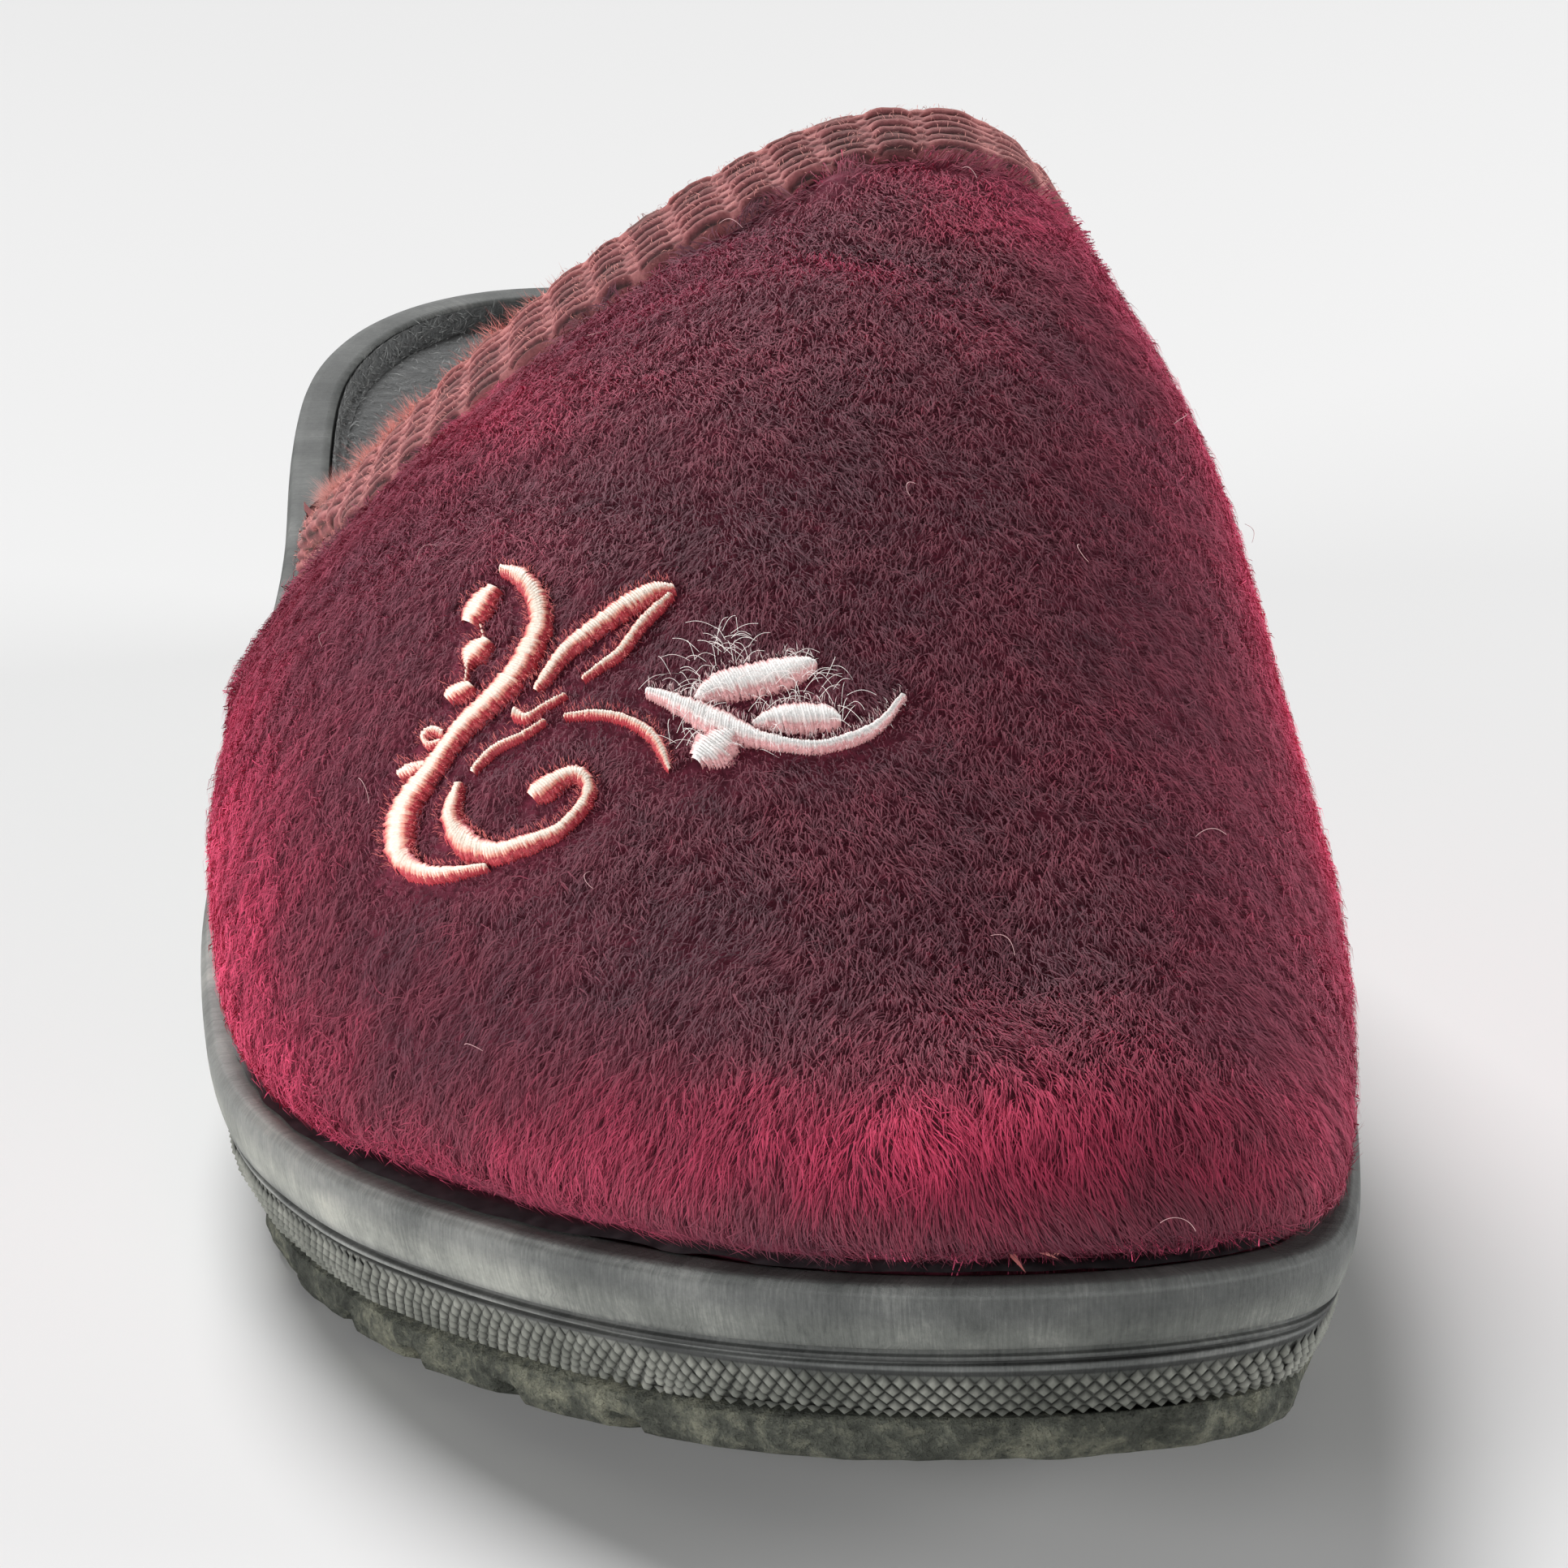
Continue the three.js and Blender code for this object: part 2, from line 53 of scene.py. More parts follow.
# Seeds of the random draws
SEEDS = {
    "pile": 41, "stitches": 7, "fringe": 73, "knit": 53, "fuzz": 59, "fleece": 61, "tufts": 67,
    "felt": 71, "frayed": 79, "lint": 83,
}
NOISE_WAVES = 9

# How copies of CAD nodes are rounded
MERGE_DISTANCE = 0.02
CREASE_WEIGHT = 0.75
SUBDIVISIONS = 2
UPPER_SHARPNESS = 50
SOLE_SHARPNESS = 30

# Camera, with its focal length in pixels of the 1932 pixel wide photograph
PHOTO_SIZE = 1932
FOCAL_PIXELS = 6700
SENSOR_WIDTH = 36
CAMERA_TURN = math.radians(8.64)
CAMERA_ELEVATION = math.radians(18.0)
CAMERA_ROLL = math.radians(-1.17)
CAMERA_DISTANCE = 490
CAMERA_TARGET = Vector((7.2, -8.0, 22.2))
CLIP_START = 0.01
CLIP_END = 20

# Plush pile: blades, the locks they gather in, and how they are combed
PILE_LENGTH = 3.0
PILE_SEAT = 0.9
PILE_STAND = 1.2
PILE_BLADE_WIDTH = 0.1
PILE_BLADES = 310000
PILE_SKIRT = 2.0
SKIRT_REACH = 4.0
BAND_REACH = 2.6
PILE_PIECES = ("pile_toe", "pile_ball", "pile_vamp", "pile_instep")
PILE_COVER = 6.0
BAND_LEAN = 2.2
LOCK_AREA = 1.1
LOCK_PULL = 0.22
LOCK_STAND = 0.16
LOCK_TONE = 0.03
BLADE_TONE = 0.045
LOCK_CORE = 0.8
COMB = Vector((0.0, -0.75, -1.0))
COMB_SPREAD = 0.55
COMB_CALM = 0.3
COMB_SIDEWAYS = 60
LENGTH_VARIATION = (0.6, 1.15)
WIDTH_VARIATION = (0.6, 1.25)
TUFTING = 0.26
TUFTING_SIZE = 3.2
TUFTING_TONE = 0.25
ROOT_DEPTH = 0.15
BLADE_ROLL = 0.4
SWIRL_SIZE = 5
SWIRL_SEEDS = (21, 22, 23)
TOE_TIP = -125
TOE_FADE = 26

# Painted light on the pile: its base level, a painted sheen that brightens both sides of the vamp, and
# painted shade along the creases
PAINTED_LIGHT_BASE = 0.17
PAINTED_SHEEN_OUTER = 0.6
PAINTED_SHEEN_OUTER_EDGE = -40
PAINTED_SHEEN_INNER = 0.7
PAINTED_SHEEN_INNER_EDGE = 39
PAINTED_CREASE_SHADE = 0.2

# Middle of the vamp's hollow, and the level of the rim
VAMP_CORE = Vector((6.0, 0.0, 22.0))
TOE_CORE = -95
RIM_LEVEL = 14

# Knitted band
RIB_PITCH = 4.45
RIB_BLOCK_SHARE = 0.78
RIB_RELIEF = 0.24
YARN_ROW_PITCH = 1.2
YARN_RELIEF = 0.42
BAND_LEAF = 8.5
BAND_LINING_LEAF = 4.2
BAND_HALF = 2.9
BAND_GRID_ALONG = 0.36
BAND_GRID_ACROSS = 0.15
BAND_TUCK = 2.4
TUCK_REACH = 1.6
COLLAR_CORE = np.array((6.0, 0.0, 34.0))
COLLAR_ANGLES = np.radians(np.linspace(205, -28, 180))
COLLAR_REACHES = np.arange(18, 62, 0.5)
BEHIND_COLLAR = np.array((0, 150, 0))

# Loose fibres: how many, and their length, stand and width
BAND_FUZZ_FIBRES = 13000
BAND_FUZZ_SIZE = (0.8, 0.35, 0.06)
TUFTS = 330
TUFT_FIBRES = 60
TUFT_SIZE = (2.7, 0.5, 0.06)
FLEECE_FIBRES = 20000
FLEECE_SIZE = (2.2, 1.2, 0.42)
FLEECE_COVER = 3.0
FLEECE_BAND_GAP = 1.8
FELT_FIBRES = 14000
FELT_BORDER_FIBRES = 5000
FELT_FIBRE_SIZE = (1.5, 0.25, 0.08)
FRINGE_FIBRES = 3
FRINGE_SIZE = (0.55, 0.25, 0.045)

# Felt turned up the rim's wall: shares of the wall's height at which it is laid on
FELT_BORDER_START = -20
FELT_BORDER_REACH = 7.5
FELT_BORDER_SHARES = (0.04, 0.3, 0.6, 0.88)

# Moulded sole, with the knurl's place as shares of its side's height
OUTLINE_STEP = 0.5
OUTLINE_RAYS = 1440
OUTLINE_CORE_SHARE = 0.36
UNDER_INSET = 6
RIM_BEAD = 4.5
KNURL_LOW = 0.06
KNURL_HIGH = 0.39
KNURL_PITCH = 1.2
KNURL_ROW_RISE = 0.74
KNURL_HEIGHT = 0.42
KNURL_SINK = 0.03
KNURL_STRETCH = 1.9
TREAD_WEAR = {"amount": 0.45, "wavelength": 7, "seed": 31}
PYRAMID_POINTS = ((0, 0.5, 0), (0.5, 0, 0), (0, -0.5, 0), (-0.5, 0, 0), (0, 0, 1))
PYRAMID_SIDES = ((1, 0, 4), (2, 1, 4), (3, 2, 4), (0, 3, 4))

# Cement, also painted shade in the joint: offset from the rim's bead and height of each line along it
CEMENT_PROFILE = ((0.0, 0.25), (-1.1, 0.5), (-2.2, 0.4), (-3.2, 0.1))
CEMENT_INSET = 2.0
CEMENT_END = 44

# Embroidery
STITCH_SPACING = 0.21
STITCH_WIDTH = 0.4
STITCH_SHARES = np.array([-1.0, -0.82, -0.4, 0.0, 0.4, 0.82, 1.0])
STROKE_FULLNESS = 1.1
STITCH_SLANT = 0.28
THREAD_RISE = 1.0
THREAD_DEPTH = 0.22
THREAD_SEAT = 0.1
PILE_MARGIN = 0.25

# Pixel at which the strokes' scale is taken
SCROLL_MIDDLE = (700, 900)

# Fine curly threads, whose shape is a length, a radius and a curl
THREAD_STEPS = 12
FRAYED_EACH = 12
FRAYED_SHAPE = (2.1, 0.022, 0.35)
FRAYED_LIFT = 1.2
FRAYED_SCATTER = 0.9
LINT_SHAPE = (2.8, 0.028, 2.0)
LINT_LIFT = 2.2

# Studio: each panel's name, place, size and power
SKY_STRENGTH = 0.08
FLOOR_COLOUR = (0.8, 0.8, 0.8, 1)
LAMP_TARGET = (0, 0, 0.03)
OVERHEAD_STRENGTH = 3.4
OVERHEAD_ANGLE = math.radians(28)
OVERHEAD_PLACE = (-0.12, 0.68, 0.76)
STUDIO_PANELS = [
    ("front_panel", (0.15, -1.5, 0.14), (1.4, 0.3), 7.0),
    ("left_panel", (-1.3, -0.25, 0.2), (0.9, 0.4), 17.0),
    ("right_panel", (1.3, -0.1, 0.2), (0.9, 0.4), 15.0),
]

# Embroidered strokes, drawn over the photograph: x, y and width in its pixels
PEACH_STROKES = {
    "main_scroll": [
        (622, 707, 9), (645, 716, 20), (663, 739, 27), (669, 769, 27), (660, 795, 25), (645, 824, 27),
        (622, 854, 27), (598, 877, 24), (572, 903, 22), (551, 930, 20), (531, 959, 23), (510, 986, 26),
        (499, 1012, 33), (496, 1038, 36), (500, 1060, 33), (515, 1074, 25), (536, 1080, 18),
        (566, 1078, 12), (601, 1072, 7),
    ],
    "inner_curl": [
        (569, 972, 10), (560, 1006, 22), (569, 1033, 33), (590, 1049, 30), (616, 1054, 22), (651, 1044, 19),
        (689, 1028, 14), (710, 1009, 13), (725, 989, 15), (727, 969, 17), (712, 957, 16), (692, 964, 19),
        (673, 977, 27), (660, 985, 17),
    ],
    "leaf_upper": [
        (664, 853, 8), (675, 839, 13), (698, 808, 17), (733, 780, 19), (774, 751, 22), (807, 734, 20),
        (829, 730, 10),
    ],
    "leaf_lower": [
        (826, 740, 8), (810, 755, 12), (789, 777, 12), (766, 808, 11), (745, 823, 8), (722, 840, 5),
    ],
    "leaf_stem": [(638, 884, 14), (652, 888, 8), (675, 874, 6), (697, 862, 4)],
    "arc_faint": [(587, 953, 6), (600, 938, 8), (617, 924, 7), (645, 911, 6), (672, 894, 4)],
    "arc": [
        (700, 887, 5), (733, 884, 8), (760, 887, 9), (786, 897, 11), (806, 912, 12), (818, 932, 12),
        (825, 951, 6),
    ],
    "bud_top": [(611, 731, 14), (602, 742, 24), (591, 757, 27), (582, 770, 17)],
    "bud_second": [(603, 796, 15), (594, 804, 27), (584, 815, 22), (580, 825, 8)],
    "bud_third": [(582, 850, 13), (570, 857, 22), (557, 864, 13)],
    "bud_ring": [(548, 908, 9), (537, 904, 10), (527, 912, 10), (532, 922, 8), (546, 919, 7)],
    "bud_low": [(528, 948, 12), (512, 953, 17), (498, 958, 10)],
    "bud_links": [(597, 777, 4), (600, 790, 4)],
    "bud_link_low": [(580, 827, 4), (578, 843, 4)],
}
WHITE_STROKES = {
    "flower_tail": [
        (800, 857, 8), (818, 863, 14), (838, 872, 19), (858, 882, 25), (880, 893, 30), (908, 905, 26),
        (939, 915, 16), (977, 922, 12), (1010, 924, 12), (1041, 917, 12), (1072, 905, 12), (1092, 889, 10),
        (1104, 873, 8), (1112, 863, 7),
    ],
    "petal_upper": [
        (861, 866, 10), (882, 853, 28), (913, 845, 36), (945, 838, 36), (975, 830, 31), (995, 824, 20),
        (1003, 822, 7),
    ],
    "petal_middle": [
        (931, 897, 8), (948, 892, 20), (972, 889, 28), (1000, 888, 30), (1022, 889, 24), (1033, 891, 10),
    ],
    "petal_lower": [
        (905, 908, 16), (893, 917, 34), (880, 927, 46), (868, 936, 34), (861, 942, 16),
    ],
}

# Pixels where fine threads start
FRAYED_SPOTS = [
    (868, 862), (862, 902), (990, 880), (930, 925), (900, 830), (985, 855), (880, 815), (905, 808),
    (850, 845), (842, 925), (1010, 838), (1040, 880), (955, 868),
]
LOOSE_THREADS = [
    (1100, 160), (1180, 240), (1320, 192), (1372, 318), (700, 350), (900, 300), (1420, 545),
    (1500, 660), (560, 700), (430, 800), (480, 1010), (740, 1100), (1250, 1210), (1455, 1060),
    (1330, 720), (1120, 640), (760, 440), (282, 1283), (600, 1300), (1420, 1505), (1580, 900),
]

# Painted light and shade on the pile: where it catches or loses the light in the photograph, with centre
# and reach in its pixels
PAINTED_LIGHT_SPOTS = [
    {"name": "toe_front", "centre": (1150, 1385), "reach": (470, 85), "change": 0.5},
    {"name": "toe_outer", "centre": (560, 1430), "reach": (220, 80), "change": 0.22},
    {"name": "toe_pale_right", "centre": (1240, 1320), "reach": (130, 55), "change": 0.13},
    {"name": "toe_pale_left", "centre": (920, 1345), "reach": (110, 50), "change": 0.1},
    {"name": "toe_inner", "centre": (1560, 1440), "reach": (90, 90), "change": 0.14},
    {"name": "above_sole", "centre": (1000, 1540), "reach": (560, 38), "change": -0.14},
    {"name": "instep_inner", "centre": (1230, 265), "reach": (170, 62), "change": 0.34},
    {"name": "instep_outer", "centre": (655, 505), "reach": (190, 62), "change": 0.3},
    {"name": "above_scroll", "centre": (640, 640), "reach": (130, 60), "change": 0.14},
    {"name": "inner_waist", "centre": (1400, 400), "reach": (70, 120), "change": 0.12},
    {"name": "middle", "centre": (1130, 640), "reach": (270, 95), "change": -0.12},
    {"name": "below_scroll", "centre": (900, 1190), "reach": (430, 90), "change": -0.1},
]

# Where the plush swells sideways: -1 is the outer side, 1 the inner side
SWELL_BESIDE = 36
SWELL_BLEND = 2.5
SWELLS = [
    {"side": -1, "y": -76, "long": 20, "z": 20, "tall": 5.5, "size": 1.0},
    {"side": -1, "y": 5, "long": 9, "z": 27, "tall": 9, "size": 2.2},
    {"side": 1, "y": -55, "long": 42, "z": 26, "tall": 10, "size": 0.7},
]

# Troughs in the vamp, and the soft ridge beside each as a share of its depth and its half widths
RIDGE_SHARE = 0.45
RIDGE_PLACE = 2.2
CREASES = [
    {"start": (-22, 2), "end": (9, -12), "half_width": 3.4, "depth": 0.9},
    {"start": (-14, -11), "end": (14, -22), "half_width": 3.0, "depth": 0.6},
    {"start": (-30, -30), "end": (-8, -52), "half_width": 4.5, "depth": 0.6},
    {"start": (12, -20), "end": (30, -42), "half_width": 4.0, "depth": 0.5},
]



def camera_axes():
    """Right, up and forward of the camera."""
    flat = math.cos(CAMERA_ELEVATION)
    forward = Vector((
        math.sin(CAMERA_TURN) * flat,
        math.cos(CAMERA_TURN) * flat,
        -math.sin(CAMERA_ELEVATION),
    ))
    level = Vector((math.cos(CAMERA_TURN), -math.sin(CAMERA_TURN), 0))
    upright = level.cross(forward)
    right = math.cos(CAMERA_ROLL) * level + math.sin(CAMERA_ROLL) * upright
    up = -math.sin(CAMERA_ROLL) * level + math.cos(CAMERA_ROLL) * upright
    return right, up, forward


RIGHT, UP, FORWARD = camera_axes()
EYE = CAMERA_TARGET - FORWARD * CAMERA_DISTANCE
HALF_PHOTO = PHOTO_SIZE / 2


def pixel_ray(x, y):
    """Direction from the eye through a pixel of the photograph."""
    ray = FORWARD + RIGHT * ((x - HALF_PHOTO) / FOCAL_PIXELS) + UP * ((HALF_PHOTO - y) / FOCAL_PIXELS)
    return ray.normalized()


def photo_pixels(points):
    """Pixels of the photograph where points in millimetres appear."""
    away = points - np.array(EYE)
    scale = FOCAL_PIXELS / (away @ np.array(FORWARD))
    return HALF_PHOTO + away @ np.array(RIGHT) * scale, HALF_PHOTO - away @ np.array(UP) * scale


def make_camera():
    data = bpy.data.cameras.new("camera")
    data.sensor_width = SENSOR_WIDTH
    data.lens = FOCAL_PIXELS / PHOTO_SIZE * SENSOR_WIDTH
    data.clip_start = CLIP_START
    data.clip_end = CLIP_END
    camera = bpy.data.objects.new("camera", data)
    bpy.context.scene.collection.objects.link(camera)
    turned = Matrix((RIGHT, UP, -FORWARD)).transposed().to_4x4()
    camera.matrix_world = Matrix.Translation(EYE * MM) @ turned
    bpy.context.scene.camera = camera


class Finish:
    """A material with short calls to add its nodes and join them."""

    def __init__(self, name, **sockets):
        self.material = bpy.data.materials.new(name)
        self.material.use_nodes = True
        self.tree = self.material.node_tree
        self.shader = self.tree.nodes["Principled BSDF"]
        for socket, value in sockets.items():
            self.set(self.shader, socket.replace("_", " "), value)

    def set(self, node, socket, value):
        if isinstance(socket, str):
            target = next(entry for entry in node.inputs if entry.name.lower() == socket)
        else:
            target = node.inputs[socket]
        if isinstance(value, bpy.types.NodeSocket):
            self.tree.links.new(value, target)
        else:
            target.default_value = value

    def add(self, kind, output, inputs, **settings):
        node = self.tree.nodes.new("ShaderNode" + kind)
        for name, value in settings.items():
            setattr(node, name, value)
        for socket, value in inputs.items():
            self.set(node, socket, value)
        return node.outputs[output]

    def attribute(self, name):
        return self.add("Attribute", "Fac", {}, attribute_name=name)

    def noise(self, scale, detail=3.0, roughness=0.5, distortion=0.0, vector=None):
        """Noise in object coordinates, in waves per millimetre, or along a vector."""
        if vector is None:
            where = self.add("TexCoord", "Object", {})
            vector = self.add("Mapping", "Vector", {"vector": where, "scale": (1 / MM,) * 3})
        inputs = {
            "vector": vector, "scale": scale, "detail": detail,
            "roughness": roughness, "distortion": distortion,
        }
        return self.add("TexNoise", "Fac", inputs)

    def scaled(self, first, factor, added=0.0):
        """First times factor, plus added."""
        return self.add("Math", 0, {0: first, 1: factor, 2: added}, operation="MULTIPLY_ADD")

    def ramp(self, factor, *stops):
        """Colours between stops of (position, colour or level of grey)."""
        node = self.tree.nodes.new("ShaderNodeValToRGB")
        elements = node.color_ramp.elements
        while len(elements) < len(stops):
            elements.new(0.5)
        for element, (position, colour) in zip(elements, stops):
            element.position = position
            element.color = (*colour, 1) if isinstance(colour, tuple) else (colour, colour, colour, 1)
        self.tree.links.new(factor, node.inputs[0])
        return node.outputs[0]

    def mix(self, factor, first, second, blend="MIX"):
        inputs = {0: factor, 6: first, 7: second}
        return self.add("Mix", 2, inputs, data_type="RGBA", blend_type=blend)

    def product(self, first, second):
        return self.mix(1.0, first, second, "MULTIPLY")

    def colour(self, socket):
        self.set(self.shader, "base color", socket)

    def roughness(self, socket, low, high):
        inputs = {"value": socket, "to min": low, "to max": high}
        self.set(self.shader, "roughness", self.add("MapRange", 0, inputs))

    def bump(self, *layers):
        """Bump from layers of (height, strength, distance in millimetres)."""
        normal = None
        for height, strength, distance in layers:
            inputs = {"height": height, "strength": strength, "distance": distance * MM}
            if normal is not None:
                inputs["normal"] = normal
            normal = self.add("Bump", "Normal", inputs)
        self.set(self.shader, "normal", normal)


# Arrays of points, in millimetres

def unit(vectors):
    """The rows of an array, each at length 1."""
    return vectors / np.maximum(np.linalg.norm(vectors, axis=-1, keepdims=True), 1e-9)


def along_surface(vectors, normals):
    """The vectors without their parts along the normals."""
    return vectors - normals * (vectors * normals).sum(1, keepdims=True)


def bell(distance, width):
    return np.exp(-(distance / width) ** 2)


def past(value, width):
    """A blend from 0 to 1 where the value passes 0."""
    return 1 / (1 + np.exp(-value / width))


def smooth_noise(points, wavelength, seed):
    """A soft random field from -1 to 1, made of waves in a few directions."""
    rng = np.random.default_rng(seed)
    total = np.zeros(len(points))
    for _ in range(NOISE_WAVES):
        way = unit(rng.normal(size=3))
        length = wavelength * rng.uniform(0.7, 1.5)
        total += np.sin(points @ way * (2 * math.pi / length) + rng.uniform(0, 2 * math.pi))
    return np.tanh(total / 3)


def travel(line):
    """Distance travelled at each point of a line."""
    steps = np.linalg.norm(np.diff(line, axis=0), axis=1)
    return np.concatenate([[0], np.cumsum(steps)])


def resample(at, travelled, line):
    """Points of a line at distances along it."""
    return np.stack([np.interp(at, travelled, column) for column in line.T], axis=1)


def grid_triangles(rows, columns):
    """Triangles between the points of a grid, numbered row by row."""
    index = np.arange(rows * columns).reshape(rows, columns)
    a, b, c, d = index[:-1, :-1], index[1:, :-1], index[1:, 1:], index[:-1, 1:]
    return np.concatenate([np.stack(half, -1).reshape(-1, 3) for half in ((a, b, c), (a, c, d))])


def facing_up(points, triangles):
    """The triangles, turned over if the first of them faces down."""
    a, b, c = points[triangles[0]]
    return triangles[:, ::-1] if np.cross(b - a, c - a)[2] < 0 else triangles


def copies(triangles, size, count):
    """The triangles of one shape, numbered for a count of copies with so many points each."""
    return (np.arange(count)[:, None, None] * size + triangles).reshape(-1, 3)


def nearest_points(points, queries):
    """Index and distance of the nearest point to each query."""
    tree = KDTree(len(points))
    for index, point in enumerate(points.tolist()):
        tree.insert(point, index)
    tree.balance()
    found = [tree.find(query) for query in queries.tolist()]
    return np.array([hit[1] for hit in found]), np.array([hit[2] for hit in found])


def nearest_on(tree, points):
    """Nearest surface point, its normal and its distance for each point."""
    hits = [tree.find_nearest(point) for point in points.tolist()]
    return (
        np.array([tuple(hit[0]) for hit in hits]),
        np.array([tuple(hit[1]) for hit in hits]),
        np.array([hit[3] for hit in hits]),
    )


# Meshes

def settle(piece, material, replaces=None):
    """Gives a piece its finish and its body."""
    piece.data.materials.clear()
    piece.data.materials.append(material)
    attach(piece, BODY)
    if replaces:
        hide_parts(replaces)
    return piece


def add_numbers(mesh, values):
    """Gives a mesh a number for each point under each attribute's name."""
    for name, numbers in values.items():
        layer = mesh.attributes.new(name, "FLOAT", "POINT")
        layer.data.foreach_set("value", np.ascontiguousarray(numbers, np.float32))


def make_triangles(name, points, triangles, values, material, normals=None):
    """A piece of many small triangles with its attributes' values and, if given, soft normals."""
    mesh = bpy.data.meshes.new(name)
    mesh.vertices.add(len(points))
    mesh.vertices.foreach_set("co", np.ascontiguousarray(points * MM, np.float32).ravel())
    mesh.loops.add(triangles.size)
    mesh.loops.foreach_set("vertex_index", np.ascontiguousarray(triangles, np.int32).ravel())
    mesh.polygons.add(len(triangles))
    mesh.polygons.foreach_set("loop_start", np.arange(0, triangles.size, 3, dtype=np.int32))
    mesh.update(calc_edges=True)
    mesh.validate()
    add_numbers(mesh, values)
    mesh.shade_smooth()
    if normals is not None:
        mesh.normals_split_custom_set_from_vertices(normals)
    piece = bpy.data.objects.new(name, mesh)
    bpy.context.scene.collection.objects.link(piece)
    return settle(piece, material)


def smooth_copy(node, name, crease_angle):
    """A subdivided copy of a CAD node, as one surface that keeps edges sharper than the angle."""
    piece = bpy.data.objects.new(name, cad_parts[node].data.copy())
    bpy.context.scene.collection.objects.link(piece)
    piece.data.name = name
    bpy.ops.object.select_all(action="DESELECT")
    piece.select_set(True)
    bpy.context.view_layer.objects.active = piece
    bpy.ops.object.mode_set(mode="EDIT")
    bpy.ops.mesh.select_all(action="SELECT")
    bpy.ops.mesh.remove_doubles(threshold=MERGE_DISTANCE * MM)
    bpy.ops.mesh.customdata_custom_splitnormals_clear()
    bpy.ops.mesh.tris_convert_to_quads(face_threshold=math.pi, shape_threshold=math.pi)
    bpy.ops.object.mode_set(mode="OBJECT")
    bpy.ops.object.mode_set(mode="EDIT")
    bpy.ops.mesh.select_all(action="DESELECT")
    bpy.ops.mesh.select_mode(type="EDGE")
    bpy.ops.mesh.edges_select_sharp(sharpness=math.radians(crease_angle))
    bpy.ops.transform.edge_crease(value=CREASE_WEIGHT)
    bpy.ops.object.mode_set(mode="OBJECT")
    modifier = piece.modifiers.new("rounded", "SUBSURF")
    modifier.levels = SUBDIVISIONS
    modifier.render_levels = SUBDIVISIONS
    bpy.ops.object.modifier_apply(modifier=modifier.name)
    bpy.ops.object.shade_smooth()
    return piece


def mesh_arrays(piece):
    """Points and point normals in millimetres, and triangles, of a mesh."""
    mesh = piece.data
    mesh.calc_loop_triangles()
    points = np.empty(len(mesh.vertices) * 3)
    mesh.vertices.foreach_get("co", points)
    normals = np.empty(len(mesh.vertices) * 3)
    mesh.vertex_normals.foreach_get("vector", normals)
    triangles = np.empty(len(mesh.loop_triangles) * 3, np.int32)
    mesh.loop_triangles.foreach_get("vertices", triangles)
    return points.reshape(-1, 3) / MM, normals.reshape(-1, 3), triangles.reshape(-1, 3)


def tree_of(piece):
    points, _, triangles = mesh_arrays(piece)
    return BVHTree.FromPolygons(points.tolist(), triangles.tolist())


def set_points(piece, points):
    piece.data.vertices.foreach_set("co", np.ascontiguousarray(points * MM, np.float32).ravel())
    piece.data.update()


# Vamp

def sideways(points, normals):
    """How far places on the vamp face away from its core."""
    return (normals * (points - np.array(VAMP_CORE)) * (1, 0, 1)).sum(1)


def faces_out(points, normals):
    """Whether places on the vamp are on its outer side, above the rim."""
    front = normals[:, 1] * (points[:, 1] - TOE_CORE)
    toe = points[:, 1] < TOE_CORE
    return ((sideways(points, normals) > 0) | (toe & (front > 0))) & (points[:, 2] > RIM_LEVEL)


def side_swell(points):
    """How far the plush swells past the vamp where it hangs over the rim."""
    x, y, z = points.T
    total = np.zeros(len(points))
    for swell in SWELLS:
        beside = past(swell["side"] * x - SWELL_BESIDE, SWELL_BLEND)
        near = bell(z - swell["z"], swell["tall"]) * bell(y - swell["y"], swell["long"])
        total += swell["size"] * beside * near
    return total


def seat_backing(skin):
    """Lowers the vamp's outer side by the depth of the pile that stands in it."""
    points, normals, _ = mesh_arrays(skin)
    depth = PILE_SEAT - side_swell(points)
    points -= normals * (depth * faces_out(points, normals))[:, None]
    set_points(skin, points)


def crease_distance(points, crease):
    """Distance beside a crease's line, and how far it has faded past its ends."""
    start = np.array(crease["start"], float)
    way = np.array(crease["end"], float) - start
    length = np.linalg.norm(way)
    way /= length
    along = (points[:, :2] - start) @ way
    beside = (points[:, :2] - start) @ np.array((-way[1], way[0]))
    beyond = np.maximum(np.maximum(-along, along - length), 0)
    return beside, bell(beyond, 2 * crease["half_width"])


def shape_creases(skin):
    """Presses the listed troughs into the vamp, with a soft ridge beside each."""
    points, normals, _ = mesh_arrays(skin)
    outside = sideways(points, normals) > 0
    for crease in CREASES:
        beside, fade = crease_distance(points, crease)
        width = crease["half_width"]
        ridge = RIDGE_SHARE * bell(np.abs(beside) - RIDGE_PLACE * width, width)
        wave = bell(beside, width) - ridge
        points -= normals * (crease["depth"] * fade * wave * outside)[:, None]
    set_points(skin, points)


# Pile and loose fibres

def surface_roots(piece, count, rng, wanted):
    """Random points spread evenly over the wanted triangles, with their normals."""
    points, normals, triangles = mesh_arrays(piece)
    a, b, c = (points[triangles[:, i]] for i in range(3))
    cross = np.cross(b - a, c - a)
    centres = (a + b + c) / 3
    areas = np.linalg.norm(cross, axis=1) * wanted(centres, unit(cross))
    picks = rng.choice(len(triangles), size=count, p=areas / areas.sum())
    u, v = rng.random(count), rng.random(count)
    over = u + v > 1
    u[over], v[over] = 1 - u[over], 1 - v[over]
    weights = np.stack([1 - u - v, u, v], axis=1)[:, :, None]
    roots = (points[triangles[picks]] * weights).sum(1)
    return roots, unit((normals[triangles[picks]] * weights).sum(1)), areas.sum() / 2


def uncovered(roots, normals, covers, reach):
    """Whether no other piece lies over each root within the reach."""
    clear = []
    for root, normal in zip(roots.tolist(), normals.tolist()):
        way = Vector(normal)
        start = Vector(root) + way * 0.05
        clear.append(not any(cover.ray_cast(start, way, reach)[0] for cover in covers))
    return np.array(clear)


